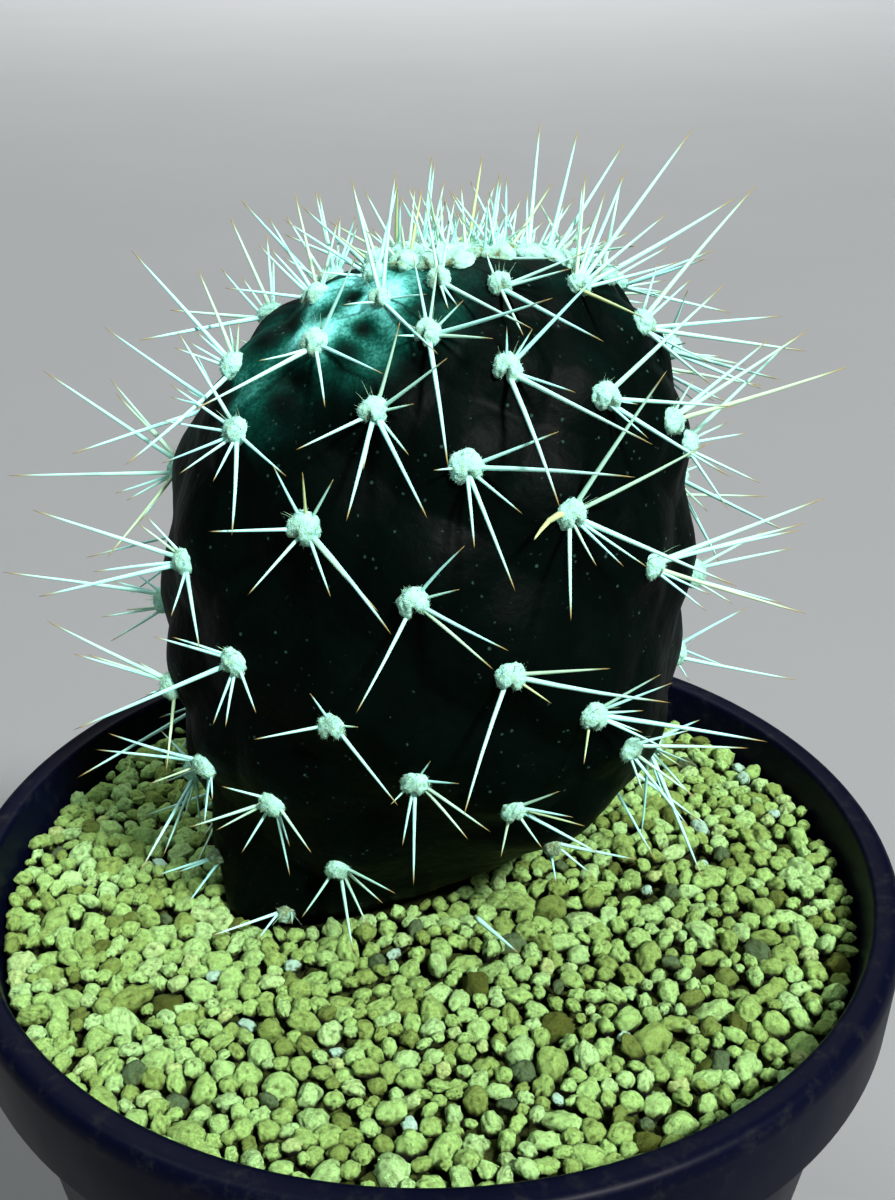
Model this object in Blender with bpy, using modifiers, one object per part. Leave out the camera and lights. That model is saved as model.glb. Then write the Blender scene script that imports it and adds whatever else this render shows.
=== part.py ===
"""A plump round-jointed prickly pear in a plastic pot of grit. Metres, +Z up.

The origin is the middle of the pot's flat bottom, and the viewer looks along +Y.
"""
import math
import random

import bmesh
import bpy
from mathutils import Matrix, Vector

# Pot
POT_HEIGHT = 0.085
POT_FLOOR = 0.0018
POT_WALL = 0.0018
POT_BASE_INNER_RADIUS = 0.0362
POT_RIM_INNER_RADIUS = 0.0499
POT_BAND_HEIGHT = 0.011
POT_BAND_PROUD = 0.0016
POT_LIP_DROP = 0.0005
POT_SIDES = 64
DRAIN_HOLE_RADIUS = 0.0025
DRAIN_HOLE_CIRCLE = 0.024
DRAIN_HOLE_COUNT = 6

# Grit
GRIT_LEVEL = 0.0805
GRIT_GRAIN = 0.0031
GRIT_RELIEF = 0.0016
GRIT_SHIFT = 0.0007
GRIT_SEED = 4

# Clearance between pieces that touch
GAP = 0.0003

# The viewpoint of the photograph, its middle and its focal length, the last two in its pixels
VIEWPOINT = Vector((0.0020, -0.1438, 0.1876))
VIEW_PITCH = math.radians(26.25)
PHOTO_MIDDLE = Vector((447.5, 600))
PHOTO_FOCUS = 1500

# The cactus's body: an egg that leans to the right, a little flatter from front to back, whose foot
# is bent to the left and towards the viewer
BODY_HALF_WIDTH = 0.0274
BODY_HALF_DEPTH = 0.0258
BODY_UPPER_HEIGHT = 0.0384
BODY_LOWER_HEIGHT = 0.0414
BODY_CENTRE = Vector((-0.0002, 0.0064, GRIT_LEVEL + 0.0360))
LEAN_RIGHT = math.radians(13.8)
LEAN_BACK = math.radians(4.9)
CROWN_LEFT = math.radians(5.65)
CROWN_BACK = math.radians(1.0)
FOOT_SHIFT = Vector((-0.0108, -0.0082, 0))
FOOT_BEND = 7.5
BODY_COLUMNS = 40
BODY_ROWS = 28
NORMAL_STEP = 0.004

# Broad swells and flats of the egg: clock angle as the viewer sees it, 0 up and 90 right, and height
BODY_SWELLS = (
    (0, -0.0053), (30, 0.0022), (60, 0.0007), (90, -0.0010), (120, 0.0020), (150, 0.0037),
    (180, -0.0048), (300, 0.0024), (330, 0.0021),
)
SWELL_REACH = 0.42

# Root
ROOT_TOP_SHARE = 0.9
ROOT_DEPTH = 0.026
ROOT_TOP_RADIUS = 0.006
ROOT_TIP_RADIUS = 0.003

# Areoles follow one spiral from the crown down: close together in the crown, then wider apart
AREOLE_COUNT = 126
CROWN_COUNT = 35
CROWN_ANGLE = 25.6
FLANK_ANGLES = (57.4, 168.6, -101.9)
SPIRAL_START = 186.4
SPIRAL_TURN = 139.19
AREOLE_RADIUS = 0.0018
CROWN_AREOLE_RADIUS = 0.0013
AREOLE_HEIGHT = 0.0010
AREOLE_TAPER = 0.72
AREOLE_LEAST_RISE = 0.0060
SKIN_FADE = 0.0060
TUBERCLE_HEIGHT = 0.0020
VALLEY_DEPTH = 0.0013
TUBERCLE_REACH = 0.0046
CROWN_TUBERCLE_REACH = 0.0022
TUBERCLE_ABOVE_AREOLE = 0.0012

# Where the photograph shows the areoles that stand off the spiral, in its pixels, and the places in
# the spiral where it shows none
AREOLE_PIXELS = {
    9: (501, 244), 12: (430, 254), 17: (456, 252), 25: (404, 258), 30: (438, 274), 35: (500, 282),
    38: (372, 270), 40: (580, 283), 43: (379, 296), 48: (427, 331), 50: (646, 322), 51: (313, 292),
    53: (508, 367), 56: (312, 340), 58: (608, 396), 59: (265, 310), 61: (372, 410), 63: (676, 421),
    64: (230, 364), 66: (467, 467), 68: (692, 444), 69: (232, 430), 71: (574, 515), 74: (302, 529),
    76: (657, 567), 77: (175, 467), 79: (413, 604), 81: (700, 575), 82: (180, 562), 84: (512, 679),
    86: (679, 653), 87: (231, 663), 89: (596, 718), 90: (161, 601), 92: (330, 729), 94: (633, 751),
    95: (169, 688), 97: (415, 786), 100: (203, 767), 102: (514, 813), 105: (270, 806), 107: (553, 849),
    110: (337, 871), 113: (215, 857), 118: (285, 918),
}
MISSING_PLACES = (14, 22, 27, 32, 45, 115)
PIXEL_STEP = 0.01
PIXEL_DAMPING = 3600
PIXEL_ROUNDS = 12

# Spines
SPINE_BASE_RADIUS = 0.00048
SPINE_ROOT = 0.0016
SPINE_LIFT = math.radians(32)
SPINE_MOST_LEAN = 0.8
LEAN_STEP = 0.05
SPINE_SPREAD = 0.0007
SPINE_FLOOR = GRIT_LEVEL + 0.0016
SPINES_A_CROWN_AREOLE = 2
CROWN_SPINE_LENGTHS = (0.0040, 0.0090)
FLANK_SPINE_LENGTHS = (0.0060, 0.0100)
FLANK_SPINE_CLOCKS = (180, 105, 255)

# The longest spines of the areoles that face the viewer: the areole's place in the spiral, then for
# each spine its clock angle in degrees as the viewer sees it, 0 up and 90 right, and its seen length
# in millimetres.
FRONT_SPINES = {
    0: ((8, 7.7), (330, 4)),
    1: ((324, 7.7), (33, 8.7)),
    2: ((346, 4.7), (9, 10.4)),
    3: ((335, 8.4),),
    6: ((5, 13.7), (0, 6.4)),
    9: ((172, 4.5), (350, 6)),
    11: ((14, 13.7), (32, 14.2), (92, 8)),
    12: ((342, 6), (10, 5)),
    17: ((335, 5), (20, 4)),
    19: ((62, 7), (100, 5)),
    24: ((4, 7.9), (21, 6.8)),
    25: ((10, 7.4), (352, 4)),
    29: ((331, 7.6),),
    30: ((126, 10), (10, 8)),
    33: ((342, 7.8), (310, 5)),
    35: ((127, 10.8), (71, 8)),
    37: ((11, 10.3), (60, 7)),
    38: ((303, 9.9), (13, 9.1)),
    40: ((36, 19), (60, 17.5), (23, 12), (75, 10)),
    43: ((6, 12.2), (346, 11.7), (139, 8)),
    46: ((4, 6.4), (18, 6.8), (300, 5)),
    48: ((172, 13), (81, 10.6), (349, 6.6)),
    50: ((40, 18), (98, 16.3), (85, 13.8), (140, 8.7)),
    51: ((329, 9.2), (347, 10.4), (277, 8.6)),
    53: ((123, 14), (163, 13.6), (45, 12)),
    56: ((234, 12), (29, 8), (120, 7.5), (168, 6.6)),
    58: ((47, 15), (124, 13.2), (94, 11.9)),
    59: ((336, 11.3), (355, 8.3), (318, 7.1), (250, 12), (275, 10)),
    61: ((154, 11), (191, 10.2), (59, 7.3), (241, 7.3)),
    63: ((73, 18.5), (57, 16.2), (51, 12.6)),
    64: ((318, 15.5), (338, 10.3), (290, 6), (219, 13.4)),
    66: ((96, 14), (160, 11.5), (71, 8), (175, 7)),
    68: ((46, 15), (115, 8), (152, 7)),
    69: ((329, 11), (176, 10), (248, 7.3), (131, 7)),
    71: ((114, 16), (33, 14), (63, 13.5), (182, 9.3)),
    72: ((305, 15.4), (244, 14.7), (334, 6.5)),
    74: ((139, 12.3), (268, 8.3), (220, 7.4), (334, 5.8)),
    76: ((69, 18), (107, 15.6), (75, 15.3)),
    77: ((269, 19), (304, 18.6), (320, 12.4), (210, 11.4)),
    79: ((207, 10.7), (117, 9), (130, 8.8), (43, 6.3)),
    81: ((62, 9), (78, 11), (105, 10)),
    82: ((288, 16), (257, 15), (264, 9), (163, 8.6)),
    84: ((99, 14.1), (199, 12.8), (85, 8.5)),
    86: ((101, 14), (61, 9.3)),
    87: ((247, 17), (286, 7.8), (200, 6), (153, 4.9)),
    89: ((99, 17), (67, 7.6), (115, 7.6), (190, 4.2)),
    90: ((278, 18.5), (261, 7.3), (238, 7.3)),
    92: ((138, 9), (260, 6.9), (330, 3.3)),
    94: ((91, 11.8), (142, 10), (126, 8.2)),
    95: ((296, 15), (286, 11), (178, 7.8)),
    97: ((181, 9.8), (123, 8), (138, 7)),
    100: ((276, 11.6), (286, 10.6), (184, 6)),
    102: ((118, 9.4), (103, 6.6), (64, 4.4), (192, 4.6)),
    105: ((252, 8.7), (168, 7.2), (137, 5.7), (212, 5.8)),
    107: ((100, 8.5), (130, 5)),
    110: ((171, 9), (155, 6.6), (214, 6.3), (108, 6)),
    113: ((253, 7.5), (208, 6)),
    118: ((234, 8.2), (191, 5.2)),
}

LEAN = Matrix.Rotation(LEAN_RIGHT, 3, "Y") @ Matrix.Rotation(-LEAN_BACK, 3, "X")
TO_CROWN = Matrix.Rotation(-CROWN_LEFT, 3, "Y") @ Matrix.Rotation(-CROWN_BACK, 3, "X")
VIEW_RIGHT = Vector((1, 0, 0))
VIEW_UP = Vector((0, math.sin(VIEW_PITCH), math.cos(VIEW_PITCH)))
TO_VIEWER = Vector((0, -math.cos(VIEW_PITCH), math.sin(VIEW_PITCH)))


def clear_scene():
    for old in list(bpy.data.objects):
        bpy.data.objects.remove(old, do_unlink=True)


def make_collection(name):
    made = bpy.data.collections.new(name)
    bpy.context.scene.collection.children.link(made)
    return made


def make_material(name, colour, roughness, metallic=0.0):
    material = bpy.data.materials.new(name)
    material.use_nodes = True
    shader = material.node_tree.nodes["Principled BSDF"]
    shader.inputs["Base Color"].default_value = (*colour, 1)
    shader.inputs["Roughness"].default_value = roughness
    shader.inputs["Metallic"].default_value = metallic
    material.diffuse_color = (*colour, 1)
    return material


def object_from_bmesh(name, bm, collection):
    mesh = bpy.data.meshes.new(name)
    bm.to_mesh(mesh)
    bm.free()
    made = bpy.data.objects.new(name, mesh)
    collection.objects.link(made)
    return made


def hide_cutter(cutter):
    cutter.hide_render = True
    cutter.display_type = "WIRE"
    return cutter


def turned(name, profile, sides, collection):
    """Turns (radius, height) points, listed down the outer side, about the Z axis."""
    bm = bmesh.new()
    corners = [bm.verts.new((radius, 0, height)) for radius, height in profile]
    for first, second in zip(corners, corners[1:]):
        bm.edges.new((first, second))
    made = object_from_bmesh(name, bm, collection)
    screw = made.modifiers.new("turn", "SCREW")
    screw.steps = sides
    screw.render_steps = sides
    screw.use_merge_vertices = True
    screw.merge_threshold = 0.00001
    return made


def add_boolean(target, operation, cutter=None, group=None, solver="EXACT"):
    step = target.modifiers.new(operation.lower(), "BOOLEAN")
    step.operation = operation
    step.solver = solver
    if group is None:
        step.object = cutter
    else:
        step.operand_type = "COLLECTION"
        step.collection = group
    return step


def apply_modifiers(target):
    """Keeps the evaluated mesh and drops the modifiers."""
    graph = bpy.context.evaluated_depsgraph_get()
    mesh = bpy.data.meshes.new_from_object(target.evaluated_get(graph))
    target.modifiers.clear()
    target.data = mesh


def inner_radius(height):
    """Inner radius of the pot's wall at a height above its bottom."""
    share = (height - POT_FLOOR) / (POT_HEIGHT - POT_FLOOR)
    return POT_BASE_INNER_RADIUS + share * (POT_RIM_INNER_RADIUS - POT_BASE_INNER_RADIUS)


def build_pot(parts, cutters):
    band_foot = POT_HEIGHT - POT_BAND_HEIGHT
    rim_outer = POT_RIM_INNER_RADIUS + POT_WALL + POT_BAND_PROUD
    foot_radius = inner_radius(POT_FLOOR) + POT_WALL
    profile = [
        (POT_RIM_INNER_RADIUS + POT_WALL / 2, POT_HEIGHT),
        (rim_outer - POT_LIP_DROP, POT_HEIGHT),
        (rim_outer, POT_HEIGHT - POT_LIP_DROP),
        (rim_outer - POT_LIP_DROP, band_foot),
        (inner_radius(band_foot) + POT_WALL, band_foot),
        (foot_radius, 2 * POT_FLOOR / 3),
        (foot_radius - POT_FLOOR / 2, 0),
        (0, 0),
        (0, POT_FLOOR),
        (POT_BASE_INNER_RADIUS, POT_FLOOR),
        (POT_RIM_INNER_RADIUS, POT_HEIGHT - POT_LIP_DROP),
        (POT_RIM_INNER_RADIUS + POT_LIP_DROP, POT_HEIGHT),
        (POT_RIM_INNER_RADIUS + POT_WALL / 2, POT_HEIGHT),
    ]
    pot = turned("pot", profile, POT_SIDES, parts)
    pot.data.materials.append(make_material("pot plastic", (0.012, 0.013, 0.022), 0.42))
    for turn in range(DRAIN_HOLE_COUNT):
        bm = bmesh.new()
        bmesh.ops.create_cone(
            bm, cap_ends=True, segments=12, depth=4 * POT_FLOOR,
            radius1=DRAIN_HOLE_RADIUS, radius2=DRAIN_HOLE_RADIUS,
        )
        cutter = hide_cutter(object_from_bmesh(f"drain_hole_{turn}", bm, cutters))
        angle = math.tau * turn / DRAIN_HOLE_COUNT
        cutter.location = (DRAIN_HOLE_CIRCLE * math.cos(angle), DRAIN_HOLE_CIRCLE * math.sin(angle), 0)
        add_boolean(pot, "DIFFERENCE", cutter)
    return pot


def smooth_point(unit):
    """Point of the smooth body for a unit vector from the egg's middle."""
    half_height = BODY_UPPER_HEIGHT if unit.z > 0 else BODY_LOWER_HEIGHT
    halves = (BODY_HALF_WIDTH, BODY_HALF_DEPTH, half_height)
    local = Vector([half * part for half, part in zip(halves, unit)])
    normal = Vector([part / half for half, part in zip(halves, unit)]).normalized()
    away = (LEAN @ local).normalized()
    swell = 0.0
    for clock, height in BODY_SWELLS:
        turn = math.radians(clock)
        aim = VIEW_RIGHT * math.sin(turn) + VIEW_UP * math.cos(turn)
        swell += height * math.exp((away.dot(aim) - 1) / SWELL_REACH ** 2)
    bend = max(0.0, -unit.z) ** FOOT_BEND
    return BODY_CENTRE + LEAN @ (local + normal * swell) + FOOT_SHIFT * bend


def on_body(polar, around, rise=0.0):
    """Point and outward normal of the smooth body. polar is the angle from the crown, and around is
    counted from the viewer's side."""
    unit = TO_CROWN @ Vector((
        math.sin(polar) * math.sin(around), -math.sin(polar) * math.cos(around), math.cos(polar)))
    point = smooth_point(unit)
    side = unit.orthogonal().normalized() * NORMAL_STEP
    other = unit.cross(side)
    along = smooth_point((unit + side).normalized()) - point
    across = smooth_point((unit + other).normalized()) - point
    normal = along.cross(across).normalized()
    return point + normal * rise, normal


def pixel_of(point):
    """Where the photograph shows a point, in its pixels."""
    away = point - VIEWPOINT
    scale = PHOTO_FOCUS / -away.dot(TO_VIEWER)
    return PHOTO_MIDDLE + scale * Vector((away.dot(VIEW_RIGHT), -away.dot(VIEW_UP)))


def moved_to_pixel(polar, around, pixel):
    """Moves a place on the body until the photograph shows its wool at a pixel, or as near to it as
    the body reaches."""
    for _ in range(PIXEL_ROUNDS):
        here = pixel_of(on_body(polar, around, AREOLE_HEIGHT)[0])
        down = (pixel_of(on_body(polar + PIXEL_STEP, around, AREOLE_HEIGHT)[0]) - here) / PIXEL_STEP
        across = (pixel_of(on_body(polar, around + PIXEL_STEP, AREOLE_HEIGHT)[0]) - here) / PIXEL_STEP
        slopes = Matrix((down, across))
        square = slopes @ slopes.transposed() + Matrix.Identity(2) * PIXEL_DAMPING
        move = square.inverted() @ (slopes @ (pixel - here))
        polar += move.x
        around += move.y
    return polar, around


def polar_angle(place):
    """Angle from the crown of an areole at a place in the spiral, in radians."""
    if place < CROWN_COUNT:
        return math.radians(CROWN_ANGLE * math.sqrt(place / CROWN_COUNT))
    share = (place - CROWN_COUNT) / (AREOLE_COUNT - CROWN_COUNT)
    widening = sum(angle * share ** (power + 1) for power, angle in enumerate(FLANK_ANGLES))
    return math.radians(CROWN_ANGLE + widening)


def crown_blend(place):
    """0 in the crown's middle, 1 on the flanks."""
    return min(1.0, place / CROWN_COUNT) ** 2


def list_areoles():
    """(place in the spiral, polar angle, angle around) of each areole above the grit."""
    found = []
    for place in range(AREOLE_COUNT + 1):
        polar = polar_angle(place)
        around = math.radians(SPIRAL_START - SPIRAL_TURN * place)
        low = on_body(polar, around)[0].z < GRIT_LEVEL + AREOLE_LEAST_RISE
        if low or place in MISSING_PLACES:
            continue
        if place in AREOLE_PIXELS:
            polar, around = moved_to_pixel(polar, around, Vector(AREOLE_PIXELS[place]))
        found.append((place, polar, around))
    return found


def list_tubercles(areoles):
    """(peak, reach, height) of each low tubercle: it peaks a little above its areole."""
    found = []
    for place, polar, around in areoles:
        blend = crown_blend(place)
        reach = CROWN_TUBERCLE_REACH + blend * (TUBERCLE_REACH - CROWN_TUBERCLE_REACH)
        peak = on_body(polar - blend * TUBERCLE_ABOVE_AREOLE / BODY_HALF_WIDTH, around)[0]
        found.append((peak, reach, TUBERCLE_HEIGHT * (0.3 + 0.7 * blend)))
    return found


def skin_rise(point, tubercles):
    """Height of the skin above the smooth body, which shows bare where it enters the grit."""
    swell = 0.0
    for peak, reach, height in tubercles:
        swell = max(swell, height * math.exp(-((point - peak).length / reach) ** 2 / 2))
    fade = (point.z - GRIT_LEVEL) / SKIN_FADE
    return (swell - VALLEY_DEPTH) * min(1.0, max(0.0, fade))


def body_mesh(tubercles, offset=0.0):
    """The body's skin as a bmesh, offset outwards for the hole that it stands in."""
    bm = bmesh.new()
    bmesh.ops.create_uvsphere(bm, u_segments=BODY_COLUMNS, v_segments=BODY_ROWS, radius=1)
    for vert in bm.verts:
        polar = math.acos(max(-1.0, min(1.0, vert.co.z)))
        around = math.atan2(vert.co.x, -vert.co.y)
        smooth = on_body(polar, around)[0]
        vert.co = on_body(polar, around, skin_rise(smooth, tubercles) + offset)[0]
    bmesh.ops.recalc_face_normals(bm, faces=bm.faces)
    return bm


def cone_between(start, end, start_radius, end_radius, sides):
    """A closed cone from one point to another, as a bmesh."""
    along = end - start
    bm = bmesh.new()
    bmesh.ops.create_cone(
        bm, cap_ends=True, segments=sides, radius1=start_radius, radius2=end_radius, depth=along.length
    )
    turn = along.to_track_quat("Z", "Y").to_matrix().to_4x4()
    place = Matrix.Translation((start + end) / 2) @ turn
    bmesh.ops.transform(bm, matrix=place, verts=bm.verts)
    bmesh.ops.remove_doubles(bm, verts=bm.verts, dist=0.000001)
    return bm


def root_mesh(offset=0.0):
    """The short root under the body."""
    top = BODY_CENTRE + LEAN @ Vector((0, 0, -ROOT_TOP_SHARE * BODY_LOWER_HEIGHT))
    top += FOOT_SHIFT * ROOT_TOP_SHARE ** FOOT_BEND
    tip = top - Vector((0, 0, ROOT_DEPTH + offset))
    return cone_between(top, tip, ROOT_TOP_RADIUS + offset, ROOT_TIP_RADIUS + offset, 12)


def seen_direction(clock, normal):
    """Direction that the viewer sees at a clock angle, leaned towards them until it stands off the skin."""
    flat = VIEW_RIGHT * math.sin(clock) + VIEW_UP * math.cos(clock)
    clear = math.sin(SPINE_LIFT)
    lean = 0.0
    while lean < SPINE_MOST_LEAN and (flat + lean * TO_VIEWER).normalized().dot(normal) < clear:
        lean += LEAN_STEP
    return flat + lean * TO_VIEWER


def clear_of_grit(start, along):
    """Turns a spine up where its tip would enter the grit."""
    length = along.length
    while start.z + along.z < SPINE_FLOOR:
        along = (along + Vector((0, 0, 0.0006))).normalized() * length
    return along


def areole_spines(place, polar, around, normal):
    """Spines of one areole, as vectors: as seen at the front, and elsewhere erect in the crown,
    longest and spread downwards on the flanks, and short at the foot."""
    if place in FRONT_SPINES:
        return [
            seen_direction(math.radians(clock), normal) * seen / 1000 for clock, seen in FRONT_SPINES[place]
        ]
    draw = random.Random(place)
    up = (on_body(polar - 0.02, around)[0] - on_body(polar, around)[0]).normalized()
    right = up.cross(normal)
    if place < CROWN_COUNT:
        clocks = [draw.uniform(0, 360) for _ in range(SPINES_A_CROWN_AREOLE)]
        lengths = CROWN_SPINE_LENGTHS
    else:
        clocks = [clock + draw.uniform(-28, 28) for clock in FLANK_SPINE_CLOCKS]
        lengths = FLANK_SPINE_LENGTHS
    flank = math.sin(polar) ** 1.5
    spines = []
    for clock in clocks:
        turn = math.radians(clock)
        lift = math.radians(draw.uniform(60, 80) - crown_blend(place) * draw.uniform(25, 45))
        flat = up * math.cos(turn) + right * math.sin(turn)
        length = draw.uniform(*lengths) + flank * draw.uniform(0.004, 0.011)
        spines.append((flat * math.cos(lift) + normal * math.sin(lift)) * length)
    return spines


def build_cactus(parts, pieces, areoles, tubercles):
    cactus = object_from_bmesh("cactus", body_mesh(tubercles), parts)
    cactus.data.materials.append(make_material("cactus skin", (0.02, 0.10, 0.08), 0.5))
    object_from_bmesh("root", root_mesh(), pieces)
    for place, polar, around in areoles:
        smooth, normal = on_body(polar, around)
        skin = smooth + normal * skin_rise(smooth, tubercles)
        blend = crown_blend(place)
        radius = CROWN_AREOLE_RADIUS + blend * (AREOLE_RADIUS - CROWN_AREOLE_RADIUS)
        foot = skin - normal * SPINE_ROOT
        cushion = cone_between(foot, skin + normal * AREOLE_HEIGHT, radius, radius * AREOLE_TAPER, 6)
        object_from_bmesh(f"areole_{place}", cushion, pieces)
        for number, along in enumerate(areole_spines(place, polar, around, normal)):
            along = clear_of_grit(skin, along)
            root = skin + (along - along.dot(normal) * normal).normalized() * SPINE_SPREAD
            start = root - along.normalized() * SPINE_ROOT
            spine = cone_between(start, root + along, SPINE_BASE_RADIUS, 0, 3)
            object_from_bmesh(f"spine_{place}_{number}", spine, pieces)
    add_boolean(cactus, "UNION", group=pieces, solver="MANIFOLD")
    apply_modifiers(cactus)
    for piece in list(pieces.objects):
        bpy.data.objects.remove(piece, do_unlink=True)
    bpy.data.collections.remove(pieces)
    return cactus


def grit_slab_mesh():
    """A slab whose top is a bed of grains, each a low peak between sunken corners."""
    draw = random.Random(GRIT_SEED)
    cells = math.ceil(2.1 * POT_RIM_INNER_RADIUS / GRIT_GRAIN)
    bm = bmesh.new()
    bmesh.ops.create_grid(bm, x_segments=cells, y_segments=cells, size=cells * GRIT_GRAIN / 2)
    top = bmesh.ops.extrude_face_region(bm, geom=list(bm.faces))["geom"]
    for corner in (part for part in top if isinstance(part, bmesh.types.BMVert)):
        corner.co.x += draw.uniform(-GRIT_SHIFT, GRIT_SHIFT)
        corner.co.y += draw.uniform(-GRIT_SHIFT, GRIT_SHIFT)
        corner.co.z = GRIT_LEVEL - GRIT_RELIEF * draw.uniform(0.6, 1.0)
    grains = [part for part in top if isinstance(part, bmesh.types.BMFace)]
    for peak in bmesh.ops.poke(bm, faces=grains)["verts"]:
        peak.co.z = GRIT_LEVEL - GRIT_RELIEF * draw.uniform(0.0, 0.3)
    bmesh.ops.recalc_face_normals(bm, faces=bm.faces)
    return bm


def build_grit(parts, cutters, tubercles):
    slab = hide_cutter(object_from_bmesh("grit_slab", grit_slab_mesh(), cutters))
    top = GRIT_LEVEL + GAP
    floor = POT_FLOOR + GAP
    profile = [
        (0, top),
        (inner_radius(top) - GAP, top),
        (inner_radius(floor) - GAP, floor),
        (0, floor),
    ]
    grit = turned("grit", profile, POT_SIDES, parts)
    grit.data.materials.append(make_material("grit", (0.34, 0.36, 0.15), 0.9))
    add_boolean(grit, "INTERSECT", slab)
    hole = hide_cutter(object_from_bmesh("body_hole", body_mesh(tubercles, GAP), cutters))
    add_boolean(grit, "DIFFERENCE", hole)
    root_hole = hide_cutter(object_from_bmesh("root_hole", root_mesh(GAP), cutters))
    add_boolean(grit, "DIFFERENCE", root_hole)
    return grit


def main():
    clear_scene()
    parts = make_collection("potted prickly pear")
    cutters = make_collection("cutters")
    pieces = make_collection("cactus pieces")
    areoles = list_areoles()
    tubercles = list_tubercles(areoles)
    build_pot(parts, cutters)
    build_cactus(parts, pieces, areoles, tubercles)
    build_grit(parts, cutters, tubercles)


main()
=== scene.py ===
"""The looks of the potted round-jointed prickly pear: fine meshes, materials, floor, light and camera.

Metres, +Z up, in the CAD's frame: the origin is the middle of the pot's flat bottom, and the viewer
looks along +Y. An areole's place is its number in the spiral that runs down from the crown.
"""
import math
import random

import bmesh
import bpy
import numpy as np
from mathutils import Euler, Matrix, Vector, noise

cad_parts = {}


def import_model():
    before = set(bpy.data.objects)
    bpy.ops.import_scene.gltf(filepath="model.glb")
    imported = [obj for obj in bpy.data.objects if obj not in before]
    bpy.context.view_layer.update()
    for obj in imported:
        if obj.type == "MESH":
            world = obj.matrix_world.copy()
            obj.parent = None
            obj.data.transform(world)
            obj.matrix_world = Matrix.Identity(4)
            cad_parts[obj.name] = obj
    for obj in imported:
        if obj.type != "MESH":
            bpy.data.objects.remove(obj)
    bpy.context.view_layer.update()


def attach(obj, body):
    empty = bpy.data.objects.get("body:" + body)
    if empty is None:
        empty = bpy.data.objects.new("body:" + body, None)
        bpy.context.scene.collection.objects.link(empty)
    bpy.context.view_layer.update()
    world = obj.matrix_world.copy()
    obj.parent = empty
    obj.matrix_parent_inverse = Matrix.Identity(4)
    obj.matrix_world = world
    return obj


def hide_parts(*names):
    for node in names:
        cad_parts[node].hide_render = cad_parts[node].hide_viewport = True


# Pot, as in the CAD
POT_HEIGHT = 0.085
POT_FLOOR = 0.0018
POT_WALL = 0.0018
POT_BASE_INNER_RADIUS = 0.0362
POT_RIM_INNER_RADIUS = 0.0499
POT_BAND_HEIGHT = 0.011
POT_BAND_PROUD = 0.0016
DRAIN_HOLE_RADIUS = 0.0025
DRAIN_HOLE_CIRCLE = 0.024
DRAIN_HOLE_COUNT = 6
DRILL_REACH = 0.004
DRILL_SIDES = 32
POT_SIDES = 192
ROUNDING_STEPS = 5
ROUNDING_ROOM = 2.02

# Grit
GRIT_LEVEL = 0.0805
BED_DROP = 0.0026
BED_RINGS = 34
BED_SIDES = 128
RIPPLE_SCALE = 420
HOLLOW_RINGS = 32
HOLLOW_SIDES = 64
GAP = 0.0003

# Camera, and the photograph's middle and focal length in its pixels
CAMERA_PLACE = np.array((0.0020, -0.1438, 0.1876))
VIEW_PITCH = math.radians(26.25)
CAMERA_LENS = 45
CAMERA_SENSOR = 36
CAMERA_NEAR = 0.001
PHOTO_HEIGHT = 1200
PHOTO_MIDDLE = np.array((447.5, 600))
PHOTO_FOCUS = PHOTO_HEIGHT * CAMERA_LENS / CAMERA_SENSOR
VIEW_RIGHT = np.array((1.0, 0.0, 0.0))
VIEW_UP = np.array((0, math.sin(VIEW_PITCH), math.cos(VIEW_PITCH)))
TO_VIEWER = np.array((0, -math.cos(VIEW_PITCH), math.sin(VIEW_PITCH)))

# The cactus's body, as in the CAD: an egg that leans to the right, a little flatter from front to
# back, whose foot is bent to the left and towards the viewer
BODY_HALF_WIDTH = 0.0274
BODY_HALF_DEPTH = 0.0258
BODY_UPPER_HEIGHT = 0.0384
BODY_LOWER_HEIGHT = 0.0414
BODY_CENTRE = np.array((-0.0002, 0.0064, GRIT_LEVEL + 0.0360))
LEAN_RIGHT = math.radians(13.8)
LEAN_BACK = math.radians(4.9)
CROWN_LEFT = math.radians(5.65)
CROWN_BACK = math.radians(1.0)
LEAN = np.array(Matrix.Rotation(LEAN_RIGHT, 3, "Y") @ Matrix.Rotation(-LEAN_BACK, 3, "X"))
TO_CROWN = np.array(Matrix.Rotation(-CROWN_LEFT, 3, "Y") @ Matrix.Rotation(-CROWN_BACK, 3, "X"))
FOOT_SHIFT = np.array((-0.0108, -0.0082, 0))
FOOT_BEND = 7.5
NORMAL_STEP = 0.004
UP_STEP = 0.02
SKIN_COLUMNS = 288
SKIN_ROWS_SEEN = 224
SKIN_ROWS_BURIED = 12
SKIN_BURIED_FROM = 2.85
# Polar angles over which the crown's bloom, with painted light from above, fades out down the body
CROWN_BLOOM_AND_LIGHT_ENDS = (math.radians(20), math.radians(62))
# Patches of thick bloom and painted highlight on the crown's lit upper left: the photograph's pixel, how
# thick, and the reach in metres
BLOOM_AND_HIGHLIGHT_PATCHES = (((342, 296), 1.0, 0.0080), ((262, 350), 0.30, 0.0090), ((425, 296), 0.10, 0.0060))
BLOOM_HIGHLIGHT_PATCH_POLAR = 0.5
BLOOM_HIGHLIGHT_PATCH_EDGE = 3
# Shares of bloom with painted highlight: by the crown, round each areole and more round the crown's, the
# cut made by painted shade below areoles, and what the valleys keep
CROWN_BLOOM_AND_LIGHT = 0.010
HALO_BLOOM_AND_HIGHLIGHT = 0.006
CROWN_HALO_BLOOM_AND_HIGHLIGHT = 0.045
PAINTED_SHADE_SHARE = 0.97
VALLEY_BLOOM_AND_LIGHT = 0.25

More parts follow.
